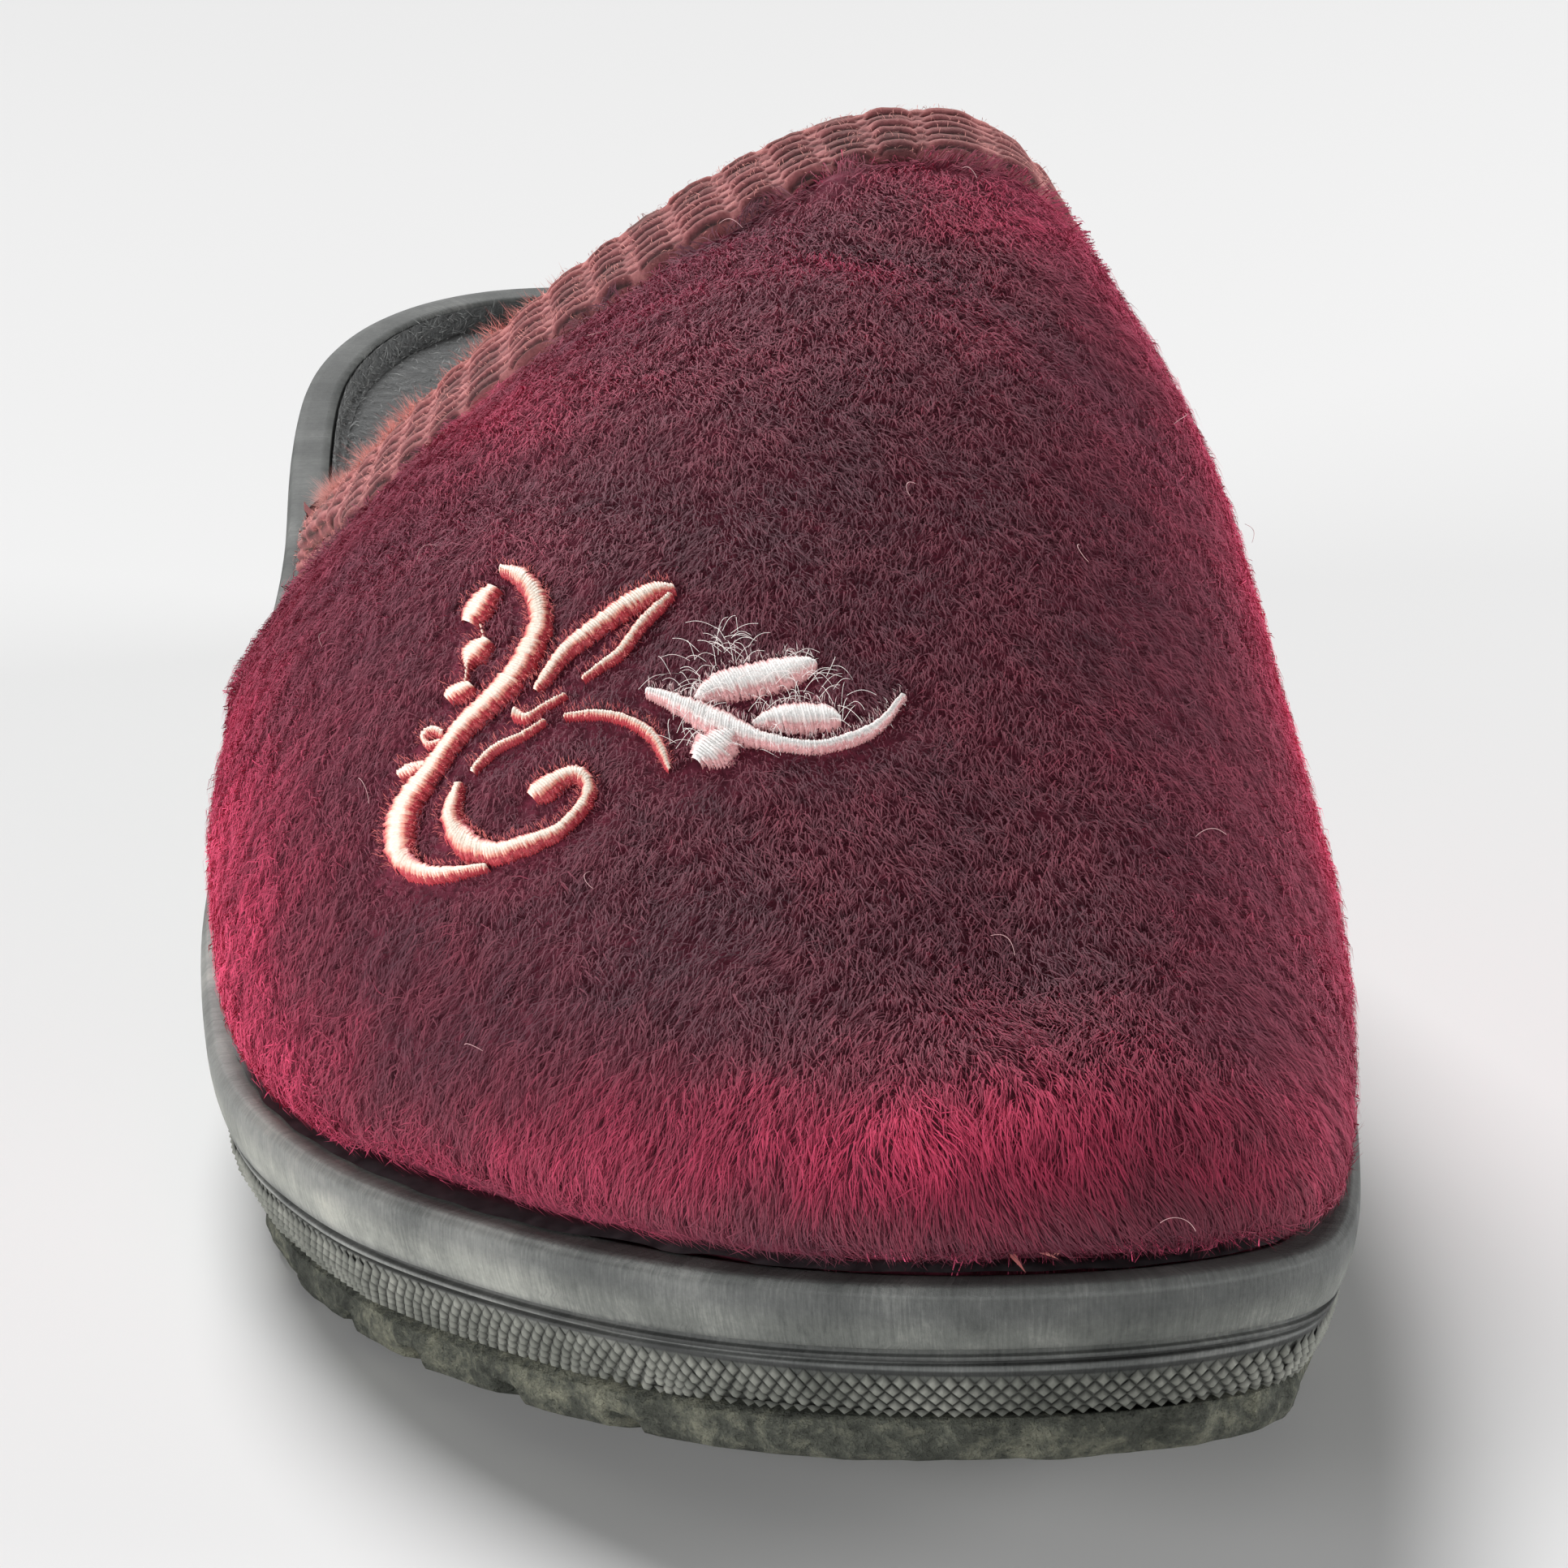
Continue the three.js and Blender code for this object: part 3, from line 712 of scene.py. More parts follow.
def painted_light_and_tone(points):
    """Painted light and shade on the pile, with soft random mottling: from 0 where shade is painted to 1
    where a bright sheen is painted.
    """
    x = points[:, 0]
    mottle = smooth_noise(points, 17, 5) * 0.07 + smooth_noise(points, 6, 6) * 0.06
    # Painted sheen, brighter towards both sides of the vamp
    outer = PAINTED_SHEEN_OUTER * past(PAINTED_SHEEN_OUTER_EDGE - x, 2.2)
    total = PAINTED_LIGHT_BASE + outer + PAINTED_SHEEN_INNER * past(x - PAINTED_SHEEN_INNER_EDGE, 2.0) + mottle
    # Painted light and shade in patches on the pile
    across, down = photo_pixels(points)
    for spot in PAINTED_LIGHT_SPOTS:
        (x, y), (wide, tall) = spot["centre"], spot["reach"]
        total += spot["change"] * bell(np.hypot((across - x) / wide, (down - y) / tall), 1)
    # Painted shade along each crease
    for crease in CREASES:
        beside, fade = crease_distance(points, crease)
        total -= PAINTED_CREASE_SHADE * fade * bell(beside, 0.7 * crease["half_width"])
    return np.clip(total, 0, 1)


def comb_directions(roots, normals, rng, spread):
    """Direction in which the pile lies at each root: towards the toe and down, with swirls."""
    push = np.tile(np.array(COMB), (len(roots), 1))
    push[:, 0] += np.clip((roots[:, 0] - VAMP_CORE.x) / COMB_SIDEWAYS, -0.8, 0.8)
    push[:, 0] += 0.35 * smooth_noise(roots, 26, 11) + 0.3 * smooth_noise(roots, 9, 12)
    push[:, 2] += 0.3 * smooth_noise(roots, 14, 13)
    high = np.clip((roots[:, 1] + 25) / 30, 0, 1)[:, None]
    swirl = np.stack([smooth_noise(roots, SWIRL_SIZE, seed) for seed in SWIRL_SEEDS], axis=1)
    push += (0.25 + 0.6 * high) * swirl
    push += rng.normal(size=push.shape) * spread[:, None]
    return unit(along_surface(push, normals))


def blades(roots, mids, tips, normals, width, rng):
    """Points, triangles and soft normals of leaf-shaped blades, bent at the middle and turned a little."""
    way = unit(tips - roots)
    roll = rng.uniform(-BLADE_ROLL, BLADE_ROLL, len(roots))[:, None]
    across = unit(np.cross(way, normals)) * np.cos(roll) + normals * np.sin(roll)
    half = across * (np.broadcast_to(width, len(roots)) / 2)[:, None]
    facing = np.cross(mids + half - roots, mids - half - roots)
    half[(facing * normals).sum(1) < 0] *= -1
    facing = unit(np.cross(mids + half - roots, mids - half - roots))
    points = np.stack([roots, mids - half, mids + half, tips], axis=1)
    triangles = copies(np.array([(0, 2, 1), (1, 2, 3)]), 4, len(roots))
    soft = unit(normals * 0.85 + facing * 0.15)
    return points.reshape(-1, 3), triangles, np.repeat(soft, 4, axis=0)


def short_fibres(name, roots, normals, ways, size, rng, finish):
    """Short loose fibres of a length, a stand and a width, on a surface."""
    length, stand, width = size
    count = len(roots)
    lengths = length * rng.uniform(0.5, 1.2, count)[:, None]
    tips = roots + ways * lengths + normals * (stand * rng.uniform(0.4, 1.2, count))[:, None]
    mids = roots + ways * lengths * 0.4 + normals * (stand * rng.uniform(0.5, 1.0, count))[:, None]
    points, triangles, soft = blades(roots - normals * 0.1, mids, tips, normals, width, rng)
    values = {"painted_light_and_tone": np.repeat(rng.random(count), 4)}
    return make_triangles(name, points, triangles, values, finish, soft)


def gather_locks(roots, tips, rng, lock_count):
    """Draws the tips together into locks round random roots."""
    leaders = rng.choice(len(roots), size=lock_count, replace=False)
    lock, distance = nearest_points(roots[leaders], roots)
    pull = LOCK_PULL * np.clip(distance / LOCK_CORE, 0, 1)
    leading = leaders[lock]
    target = tips[leading] + (roots - roots[leading]) * 0.25
    return tips + (target - tips) * pull[:, None], lock


def lean_on_band(roots, normals, ways, band_tree):
    """Turns the pile beside the band towards it, so that it hides the band's edge."""
    nearest, _, distance = nearest_on(band_tree, roots)
    towards = unit(along_surface(nearest - roots, normals))
    near = np.clip(1 - distance / BAND_REACH, 0, 1)
    return unit(ways + towards * (BAND_LEAN * near)[:, None]), near


def grow_pile(skin, rim_tree, band_tree, threads, finish):
    """The plush: short blades combed over the vamp, drawn into locks and parted round the embroidery."""
    rng = np.random.default_rng(SEEDS["pile"])
    roots, normals, area = surface_roots(skin, PILE_BLADES, rng, faces_out)
    clear = uncovered(roots, normals, [band_tree, rim_tree], PILE_COVER)
    thread, to_thread = nearest_points(threads[:, :3], roots)
    to_thread = to_thread - threads[thread, 3]
    keep = clear & (to_thread > PILE_MARGIN)
    roots, normals, to_thread = roots[keep], normals[keep], to_thread[keep]

    count = len(roots)
    toe = bell(roots[:, 1] - TOE_TIP, TOE_FADE)
    spread = COMB_SPREAD - COMB_CALM * toe
    ways = comb_directions(roots, normals, rng, spread)
    ways, near_band = lean_on_band(roots, normals, ways, band_tree)
    lengths = PILE_LENGTH * rng.uniform(*LENGTH_VARIATION, count) * (0.8 + 0.35 * toe)
    lengths = np.minimum(lengths, np.maximum(to_thread - PILE_MARGIN * 0.4, 0.5))
    ends, end_normals, _ = nearest_on(tree_of(skin), roots + ways * lengths[:, None])
    ends, lock = gather_locks(roots, ends, rng, int(area / LOCK_AREA))
    lock_stand = rng.uniform(-LOCK_STAND, LOCK_STAND, lock.max() + 1)[lock]
    tufting = TUFTING * smooth_noise(roots, TUFTING_SIZE, 33) * (1 - 0.6 * toe)
    shortness = np.clip(lengths / PILE_LENGTH, 0.4, 1)
    stand = (PILE_STAND + lock_stand + tufting + rng.normal(0, 0.12, count)) * shortness
    stand += 0.4 * side_swell(roots) + 1.1 * near_band
    middle_normals = unit(normals + end_normals)
    stand_tip = (stand + rng.uniform(-0.4, 0.1, count))[:, None]
    to_rim = nearest_on(rim_tree, roots)[2]
    skirt = PILE_SKIRT * np.clip(1 - to_rim / SKIRT_REACH, 0, 1)[:, None]
    tips = ends + end_normals * (stand_tip + 0.3 * skirt) + ways * skirt
    mids = roots * 0.5 + ends * 0.5 + middle_normals * (stand * 0.85)[:, None]
    mids += rng.normal(0, 0.1, (count, 3))
    roots = roots - normals * ROOT_DEPTH

    lock_tone = rng.normal(0, LOCK_TONE, lock.max() + 1)[lock]
    # Painted light and shade on the pile, with tone by the tufting and random tone per blade and lock
    bright = painted_light_and_tone(roots) + TUFTING_TONE * tufting + rng.normal(0, BLADE_TONE, count) + lock_tone
    bright = np.clip(bright, 0, 1)
    edges = np.quantile(roots[:, 1], np.linspace(0, 1, len(PILE_PIECES) + 1))
    edges[-1] += 1
    for name, low, high in zip(PILE_PIECES, edges[:-1], edges[1:]):
        part = (roots[:, 1] >= low) & (roots[:, 1] < high)
        width = PILE_BLADE_WIDTH * rng.uniform(*WIDTH_VARIATION, part.sum())
        points, triangles, soft = blades(
            roots[part], mids[part], tips[part], middle_normals[part], width, rng
        )
        values = {
            "painted_light_and_tone": np.repeat(bright[part], 4),
            "tip": np.tile([0.0, 0.55, 0.55, 1.0], part.sum()),
        }
        make_triangles(name, points, triangles, values, finish, soft)


def plush_finish():
    finish = Finish(
        "plush_pile", roughness=0.7, sheen_weight=0.6, sheen_roughness=0.35,
        sheen_tint=(1.0, 0.14, 0.28, 1), specular_ior_level=0.2,
    )
    # The painted light and shade become colour: dark wine where shade is painted, bright pink where a sheen
    # is painted
    bright = finish.ramp(
        finish.attribute("painted_light_and_tone"), (0.0, (0.11, 0.038, 0.055)), (0.3, (0.21, 0.042, 0.067)),
        (0.6, (0.43, 0.042, 0.095)), (1.0, (0.98, 0.09, 0.21)),
    )
    # Painted shade: each blade darkens towards its root, where the pile shades itself
    shade = finish.ramp(finish.attribute("tip"), (0.0, 0.85), (1.0, 1))
    finish.colour(finish.product(bright, shade))
    return finish.material


def skin_finish():
    finish = Finish("plush_backing", roughness=0.9, specular_ior_level=0.1)
    spots = finish.noise(0.9, detail=4)
    finish.colour(finish.ramp(spots, (0.3, (0.11, 0.026, 0.042)), (0.7, (0.21, 0.036, 0.065))))
    finish.bump((spots, 0.6, 0.6))
    return finish.material


def fibre_finish(name, dark, light, sheen):
    finish = Finish(
        name, roughness=0.8, sheen_weight=0.5, sheen_roughness=0.5, sheen_tint=(*sheen, 1)
    )
    finish.colour(finish.ramp(finish.attribute("painted_light_and_tone"), (0.0, dark), (1.0, light)))
    return finish.material


# Embroidery

def smooth_path(points, spacing):
    """A curve through rows of numbers, at about even spacing along the first two."""
    points = np.array(points, float)
    padded = np.vstack([2 * points[0] - points[1], points, 2 * points[-1] - points[-2]])
    fine = []
    for i in range(1, len(padded) - 2):
        before, start, end, after = padded[i - 1:i + 3]
        for t in np.linspace(0, 1, 16, endpoint=False):
            fine.append(0.5 * (
                2 * start + (end - before) * t + (2 * before - 5 * start + 4 * end - after) * t**2
                + (3 * start - before - 3 * end + after) * t**3
            ))
    fine = np.array(fine + [points[-1]])
    travelled = travel(fine[:, :2])
    at = np.linspace(0, travelled[-1], max(int(travelled[-1] / spacing), 2))
    return resample(at, travelled, fine)


def on_vamp(tree, x, y):
    """Point of the vamp under a pixel of the photograph, and its normal."""
    point, normal, _, _ = tree.ray_cast(EYE, pixel_ray(x, y))
    return np.array(point), np.array(normal)


def stitch_paths(tree):
    """Each stroke as (colour name, rows of x, y and width, directions, pixels per millimetre)."""
    middle, _ = on_vamp(tree, *SCROLL_MIDDLE)
    scale = FOCAL_PIXELS / (Vector(middle) - EYE).dot(FORWARD)
    paths = []
    for colour, strokes in (("peach", PEACH_STROKES), ("white", WHITE_STROKES)):
        for stroke in strokes.values():
            path = smooth_path(stroke, STITCH_SPACING * scale)
            path[:, 2] *= STROKE_FULLNESS
            paths.append((colour, path, unit(np.gradient(path[:, :2], axis=0)), scale))
    return paths


def thread_places(tree, paths):
    """Points along the strokes with half their width in millimetres."""
    rows = []
    for _, path, _, scale in paths:
        rows.extend((*on_vamp(tree, x, y)[0], width / 2 / scale) for x, y, width in path)
    return np.array(rows)


def sew(tree, paths, finishes):
    """Satin stitch: arched threads side by side across each stroke."""
    rng = np.random.default_rng(SEEDS["stitches"])
    groups = {colour: [] for colour in finishes}
    for colour, path, ways, scale in paths:
        for (x, y, width), (wx, wy) in zip(path, ways):
            reach = width / 2 * rng.uniform(0.87, 1.13)
            slant = STITCH_SLANT * reach
            line = []
            for share in STITCH_SHARES:
                px = x - wy * share * reach + wx * share * slant
                py = y + wx * share * reach + wy * share * slant
                line.append(on_vamp(tree, px, py))
            rise = min(THREAD_RISE, 0.6 + 0.25 * width / scale) * rng.uniform(0.94, 1.06)
            groups[colour].append((line, rise))
    arch = np.clip(1.02 - STITCH_SHARES**4, 0, 1)[:, None] ** 0.6
    size = 3 * len(STITCH_SHARES)
    one = grid_triangles(len(STITCH_SHARES), 3)[:, ::-1]
    for colour, stitches in groups.items():
        points, tones = [], []
        for line, rise in stitches:
            tones.append(rng.random())
            centre, normals = (np.array(column) for column in zip(*line))
            spine = centre + normals * (THREAD_SEAT + rise * arch)
            side = unit(np.cross(np.gradient(spine, axis=0), normals)) * STITCH_WIDTH / 2
            low = spine - normals * THREAD_DEPTH
            points.append(np.stack([low - side, spine, low + side], axis=1).reshape(-1, 3))
        count = len(stitches)
        values = {
            "edge": np.tile(np.repeat(np.abs(STITCH_SHARES), 3), count),
            "tone_and_painted_side_light": np.repeat(tones, size),
        }
        make_triangles(
            f"embroidery_{colour}", np.concatenate(points), copies(one, size, count), values,
            finishes[colour],
        )


def stroke_fringe(tree, paths, finishes):
    """Fine ends of thread and pile along both edges of the strokes."""
    rng = np.random.default_rng(SEEDS["fringe"])
    for wanted, finish in finishes.items():
        rows = []
        for colour, path, directions, _ in paths:
            if colour != wanted:
                continue
            for (x, y, width), (wx, wy) in zip(path, directions):
                for side in (-1, 1):
                    reach = side * width * 0.46
                    inner, normal = on_vamp(tree, x - wy * reach, y + wx * reach)
                    outer, _ = on_vamp(tree, x - wy * reach * 1.3, y + wx * reach * 1.3)
                    for _ in range(FRINGE_FIBRES):
                        root = inner + normal * rng.uniform(0.3, 1.1) + rng.normal(0, 0.12, 3)
                        rows.append((root, normal, unit(outer - inner) + rng.normal(0, 0.5, 3)))
        roots, normals, ways = (np.array(column) for column in zip(*rows))
        short_fibres(
            f"fringe_{wanted}", roots, normals, unit(ways), FRINGE_SIZE, rng, finish
        )


def thread_finish(name, middle, shoulder, border):
    finish = Finish(
        name, roughness=0.45, sheen_weight=0.3, sheen_roughness=0.4, specular_ior_level=0.4
    )
    strands = finish.noise(3.5, detail=2)
    blend = finish.scaled(strands, 0.3, finish.attribute("edge"))
    blend = finish.scaled(finish.attribute("tone_and_painted_side_light"), 0.22, blend)
    finish.colour(finish.ramp(blend, (0.5, middle), (0.82, shoulder), (1.08, border)))
    finish.bump((strands, 0.5, 0.12))
    return finish.material


def fine_threads(name, places, shape, rng, colour):
    """Curly threads of a length, a radius and a curl, each a three-sided tube over the pile."""
    length, radius, curl = shape
    points = []
    for start, normal in places:
        way = unit(np.cross(normal, rng.normal(size=3)))
        side = np.cross(normal, way)
        bend = rng.normal(0, curl)
        twist = rng.normal(0, curl * 0.6)
        angle = 0.0
        at = start + normal * 0.3
        size = length * rng.uniform(0.6, 1.3) / THREAD_STEPS
        for step in range(THREAD_STEPS + 1):
            heading = way * math.cos(angle) + side * math.sin(angle)
            bow = normal * math.sin(step / THREAD_STEPS * math.pi) * 0.5
            across = unit(np.cross(heading, normal))
            for turn in (0, 2 * math.pi / 3, 4 * math.pi / 3):
                offset = across * math.cos(turn) + normal * math.sin(turn)
                points.append(at + bow + offset * radius)
            at = at + heading * size
            angle += bend / THREAD_STEPS + twist * step / THREAD_STEPS**2
    last = THREAD_STEPS * 3
    ring = np.arange(last).reshape(-1, 3)
    beside = np.roll(ring, -1, axis=1)
    halves = ((ring, beside, beside + 3), (ring, beside + 3, ring + 3))
    sides = [np.stack(half, -1).reshape(-1, 3) for half in halves]
    one = np.concatenate([*sides, [(0, 2, 1), (last, last + 1, last + 2)]])
    finish = Finish(name, roughness=0.6, base_color=(*colour, 1))
    triangles = copies(one, last + 3, len(places))
    make_triangles(name, np.array(points), triangles, {}, finish.material)


# Knitted band

def collar_edge(tree):
    """Rearmost line of the band and its outward directions, from the outer side to the inner."""
    line, outwards = [], []
    for angle in COLLAR_ANGLES:
        radial = np.array((math.cos(angle), 0, math.sin(angle)))
        best = None
        for reach in COLLAR_REACHES:
            origin = COLLAR_CORE + radial * reach + BEHIND_COLLAR
            hit = tree.ray_cast(Vector(origin), Vector((0, -1, 0)))[0]
            if hit and (best is None or hit.y > best.y):
                best = hit
        if best is not None:
            line.append(tuple(best))
            outwards.append(radial)
    line = np.array(line)
    kernel = np.ones(5) / 5
    for i in range(3):
        line[2:-2, i] = np.convolve(line[:, i], kernel, "valid")
    return line, np.array(outwards)


def even_profiles(rows, apex):
    """Resamples each station's line across the band evenly, with the fold's apex at distance 0."""
    steps = np.linalg.norm(np.diff(rows, axis=1), axis=2)
    travelled = np.concatenate([np.zeros((len(rows), 1)), np.cumsum(steps, axis=1)], axis=1)
    top, end = travelled[:, apex:apex + 1], travelled[:, -1:]
    outer, inner = np.median(top), np.median(end - top)
    before = travelled <= top
    signed = (top - travelled) / np.where(before, top, end - top) * np.where(before, outer, inner)
    at = np.arange(outer, -inner, -BAND_GRID_ACROSS)
    even = [resample(at, place[::-1], row[::-1]) for place, row in zip(signed, rows)]
    return np.array(even), at


def knit_relief(stations, at, rng):
    """Height of the knit, with the roundness of its yarn and of its ribs."""
    cell = stations / RIB_PITCH + 0.06 * np.sin(stations * 0.31)
    block = np.floor(cell).astype(int)
    inside = (cell - block) / RIB_BLOCK_SHARE
    in_block = (inside < 1)[:, None]
    puff = np.where(inside < 1, np.sin(np.pi * np.clip(inside, 0, 1)) ** 0.5, 0)[:, None]
    bow = 0.22 * puff + rng.uniform(-0.2, 0.2, block.max() + 2)[block][:, None]
    row = at[None, :] / YARN_ROW_PITCH + np.where(in_block, bow, 0.5)
    line = np.floor(row).astype(int)
    line -= line.min()
    share = 2 * (row - np.floor(row)) - 1
    yarn = np.sqrt(np.clip(1 - (1.15 * share) ** 2, 0, 1))
    swell = rng.uniform(0.55, 1.15, (block.max() + 2, line.max() + 1))[block[:, None], line]
    raised = YARN_RELIEF * (yarn * swell - 0.6) * np.where(in_block, 1, 0.6)
    return RIB_RELIEF * (puff - 0.45) + raised, yarn * np.clip(swell, 0, 1), puff


def knit_band(node_tree, finish):
    """Rib-knit band folded over the collar edge: blocks of yarn rows between narrow sunken columns."""
    rng = np.random.default_rng(SEEDS["knit"])
    line, outwards = collar_edge(node_tree)
    travelled = travel(line)
    stations = np.arange(0, travelled[-1], BAND_GRID_ALONG)
    edge = resample(stations, travelled, line)
    ahead = unit(np.gradient(edge, axis=0))
    out = unit(along_surface(unit(resample(stations, travelled, outwards)), ahead))
    down = np.cross(ahead, out)
    down *= np.sign(-down[:, 1].mean())

    profile = [(BAND_HALF + reach, BAND_HALF) for reach in np.linspace(BAND_LEAF, 0, 20)]
    apex = len(profile) + 6
    for turn in np.linspace(0, math.pi, 15)[1:]:
        profile.append((BAND_HALF * (1 - math.sin(turn)), BAND_HALF * math.cos(turn)))
    for reach in np.linspace(0, BAND_LINING_LEAF, 10)[1:]:
        profile.append((BAND_HALF + reach, -BAND_HALF))
    rough = np.stack([edge + down * below + out * beside for below, beside in profile], axis=1)
    snapped = nearest_on(node_tree, rough.reshape(-1, 3))[0].reshape(rough.shape)
    for _ in range(6):
        snapped[1:-1] = (snapped[:-2] + 2 * snapped[1:-1] + snapped[2:]) / 4
    even, at = even_profiles(snapped, apex)

    normals = unit(np.cross(np.gradient(even, axis=0), np.gradient(even, axis=1)))
    turned = (normals[:, len(at) // 4] * out).sum() < 0
    normals *= -1 if turned else 1
    height, yarn, puff = knit_relief(stations, at, rng)
    height += 0.07 * smooth_noise(even.reshape(-1, 3), 1.6, 57).reshape(height.shape)
    fade = np.clip((at + BAND_LINING_LEAF + 2) / 2, 0.1, 1)
    tuck = BAND_TUCK * np.clip((at - at.max() + TUCK_REACH) / TUCK_REACH, 0, 1) ** 2
    points = even + normals * ((height + 0.25) * fade - tuck)[:, :, None]
    triangles = grid_triangles(*height.shape)
    values = {
        "rib": np.broadcast_to(puff, height.shape).ravel(),
        "yarn": yarn.ravel(),
        "crest": np.tile(bell(at - 0.5, 2.6), len(stations)),
    }
    band = make_triangles(
        "rib_band", points.reshape(-1, 3), triangles[:, ::-1] if turned else triangles, values,
        finish,
    )
    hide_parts("collar_binding")
    return {"out": out, "down": down, "points": points, "normals": normals, "at": at}


def band_fuzz(collar, finish):
    """Loose fibre ends of the yarn, thickest along the fold."""
    rng = np.random.default_rng(SEEDS["fuzz"])
    weight = 0.3 + 1.6 * bell(collar["at"] - 0.5, 1.4)
    weight[collar["at"] < -2] = 0
    across = rng.choice(len(weight), size=BAND_FUZZ_FIBRES, p=weight / weight.sum())
    along = rng.integers(0, len(collar["out"]), BAND_FUZZ_FIBRES)
    roots, normals = collar["points"][along, across], collar["normals"][along, across]
    ways = unit(along_surface(rng.normal(size=roots.shape), normals))
    short_fibres("band_fuzz", roots, normals, ways, BAND_FUZZ_SIZE, rng, finish)


def collar_tufts(collar, finish):
    """Fluff that stands past the band's fold in tufts, most of it on the outer side."""
    rng = np.random.default_rng(SEEDS["tufts"])
    points, normals = collar["points"], collar["normals"]
    stations = len(points)
    crest = int(np.abs(collar["at"]).argmin())
    share = np.linspace(0, 1, stations)
    weight = np.clip(1.7 - share / 0.26, 0, 1) + 1.5 * bell(share, 0.035) + 0.006
    rows = []
    for _ in range(TUFTS):
        i = rng.choice(stations, p=weight / weight.sum())
        j = crest + rng.integers(-5, 10)
        lean = collar["out"][i] * rng.uniform(0.3, 1.2) - collar["down"][i] * rng.uniform(0.2, 0.9)
        lean = unit(lean + rng.normal(0, 0.3, 3))
        size = rng.uniform(0.5, 1.2)
        for _ in range(TUFT_FIBRES):
            near = int(np.clip(i + rng.normal(0, 2.4), 0, stations - 1))
            root = points[near, j] + rng.normal(0, 0.12, 3)
            rows.append((root, normals[near, j], unit(lean + rng.normal(0, 0.33, 3)) * size))
    roots, stands, ways = (np.array(column) for column in zip(*rows))
    short_fibres("collar_tufts", roots, stands, ways, TUFT_SIZE, rng, finish)


def line_fleece(skin, band_tree, covers, finish):
    """Fleece on the inside of the vamp."""
    rng = np.random.default_rng(SEEDS["fleece"])

    def inside(centres, normals):
        return ~faces_out(centres, normals) & (centres[:, 2] > RIM_LEVEL) & (normals[:, 1] < 0.5)

    roots, normals, _ = surface_roots(skin, FLEECE_FIBRES, rng, inside)
    clear = uncovered(roots, normals, covers, FLEECE_COVER)
    clear &= nearest_on(band_tree, roots)[2] > FLEECE_BAND_GAP
    roots, normals = roots[clear], normals[clear]
    ways = rng.normal(size=roots.shape) + np.array((0, 0.8, 0))
    ways = unit(along_surface(ways, normals))
    short_fibres("lining_fleece", roots, normals, ways, FLEECE_SIZE, rng, finish)


def knit_finish():
    finish = Finish(
        "rib_knit", roughness=0.85, sheen_weight=0.3, sheen_roughness=0.5,
        sheen_tint=(1.0, 0.6, 0.52, 1),
    )
    fibres = finish.noise(2.2, detail=5, roughness=0.7)
    # Painted shade: the colour darkens to near black between the yarn rows, following the yarn's roundness
    yarn = finish.scaled(finish.attribute("yarn"), 0.5)
    level = finish.scaled(fibres, 0.5, yarn)
    pale = finish.scaled(finish.attribute("rib"), -1.0, 1.0)
    level = finish.scaled(pale, 0.24, level)
    dusty = finish.ramp(
        level, (0.25, (0.016, 0.004, 0.005)), (0.5, (0.11, 0.027, 0.032)),
        (0.75, (0.26, 0.074, 0.08)), (1.0, (0.48, 0.18, 0.18)),
    )
    rusty = finish.ramp(
        level, (0.25, (0.03, 0.005, 0.005)), (0.5, (0.18, 0.028, 0.026)),
        (0.75, (0.38, 0.075, 0.06)), (1.0, (0.58, 0.16, 0.13)),
    )
    finish.colour(finish.mix(finish.attribute("crest"), dusty, rusty))
    finish.bump((fibres, 0.6, 0.2))
    return finish.material


# Sole

def even_out(levels):
    """Takes single jumps out of heights measured round the outline, and smooths them."""
    around = (np.arange(len(levels))[:, None] + np.arange(-15, 16)) % len(levels)
    return np.median(np.array(levels)[around], axis=1)[around].mean(axis=1)


def sole_outline(tree):
    """Outline of the moulded sole with its outward directions and the heights of its side."""
    low, high = (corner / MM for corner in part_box("midsole"))
    reach = OUTLINE_CORE_SHARE * (high.y - low.y)
    rows = []
    for angle in np.linspace(0, 2 * math.pi, OUTLINE_RAYS, endpoint=False):
        way = Vector((math.sin(angle), 0.55 * math.cos(angle) ** 3, 0)).normalized()
        start = Vector((3.5, reach * math.cos(angle), 15.0))
        rows.append(tree.ray_cast(start + way * 150, -way)[0].xy)
    closed = np.array(rows + rows[:1])
    travelled = travel(closed)
    stations = np.arange(0, travelled[-1], OUTLINE_STEP)
    line = resample(stations, travelled, closed)
    for _ in range(4):
        line = (np.roll(line, 1, 0) + 2 * line + np.roll(line, -1, 0)) / 4
    ahead = unit(np.roll(line, -1, 0) - np.roll(line, 1, 0))
    out = np.stack([ahead[:, 1], -ahead[:, 0]], axis=1)
    if (out * (line - line.mean(0))).sum() < 0:
        out = -out
    top, bottom = [], []
    for rim, under in zip(line - out * RIM_BEAD / 2, line - out * UNDER_INSET):
        top.append(tree.ray_cast(Vector((*rim, 100)), Vector((0, 0, -1)))[0].z)
        bottom.append(tree.ray_cast(Vector((*under, -50)), Vector((0, 0, 1)))[0].z)
    return {
        "line": line, "out": out, "top": even_out(top), "bottom": even_out(bottom),
        "stations": stations, "length": travelled[-1],
    }


def side_point(tree, outline, station, rise):
    """Point and normal on the sole's side at a distance round the outline and a share of its height."""
    count = len(outline["stations"])
    at = station / OUTLINE_STEP
    i, j, t = int(at) % count, (int(at) + 1) % count, at % 1
    keys = ("line", "out", "bottom", "top")
    (x, y), (ox, oy), bottom, top = (outline[k][i] * (1 - t) + outline[k][j] * t for k in keys)
    z = bottom + rise * (top - bottom)
    hit, normal, _, _ = tree.ray_cast(Vector((x + ox * 12, y + oy * 12, z)), Vector((-ox, -oy, 0)))
    return hit, normal


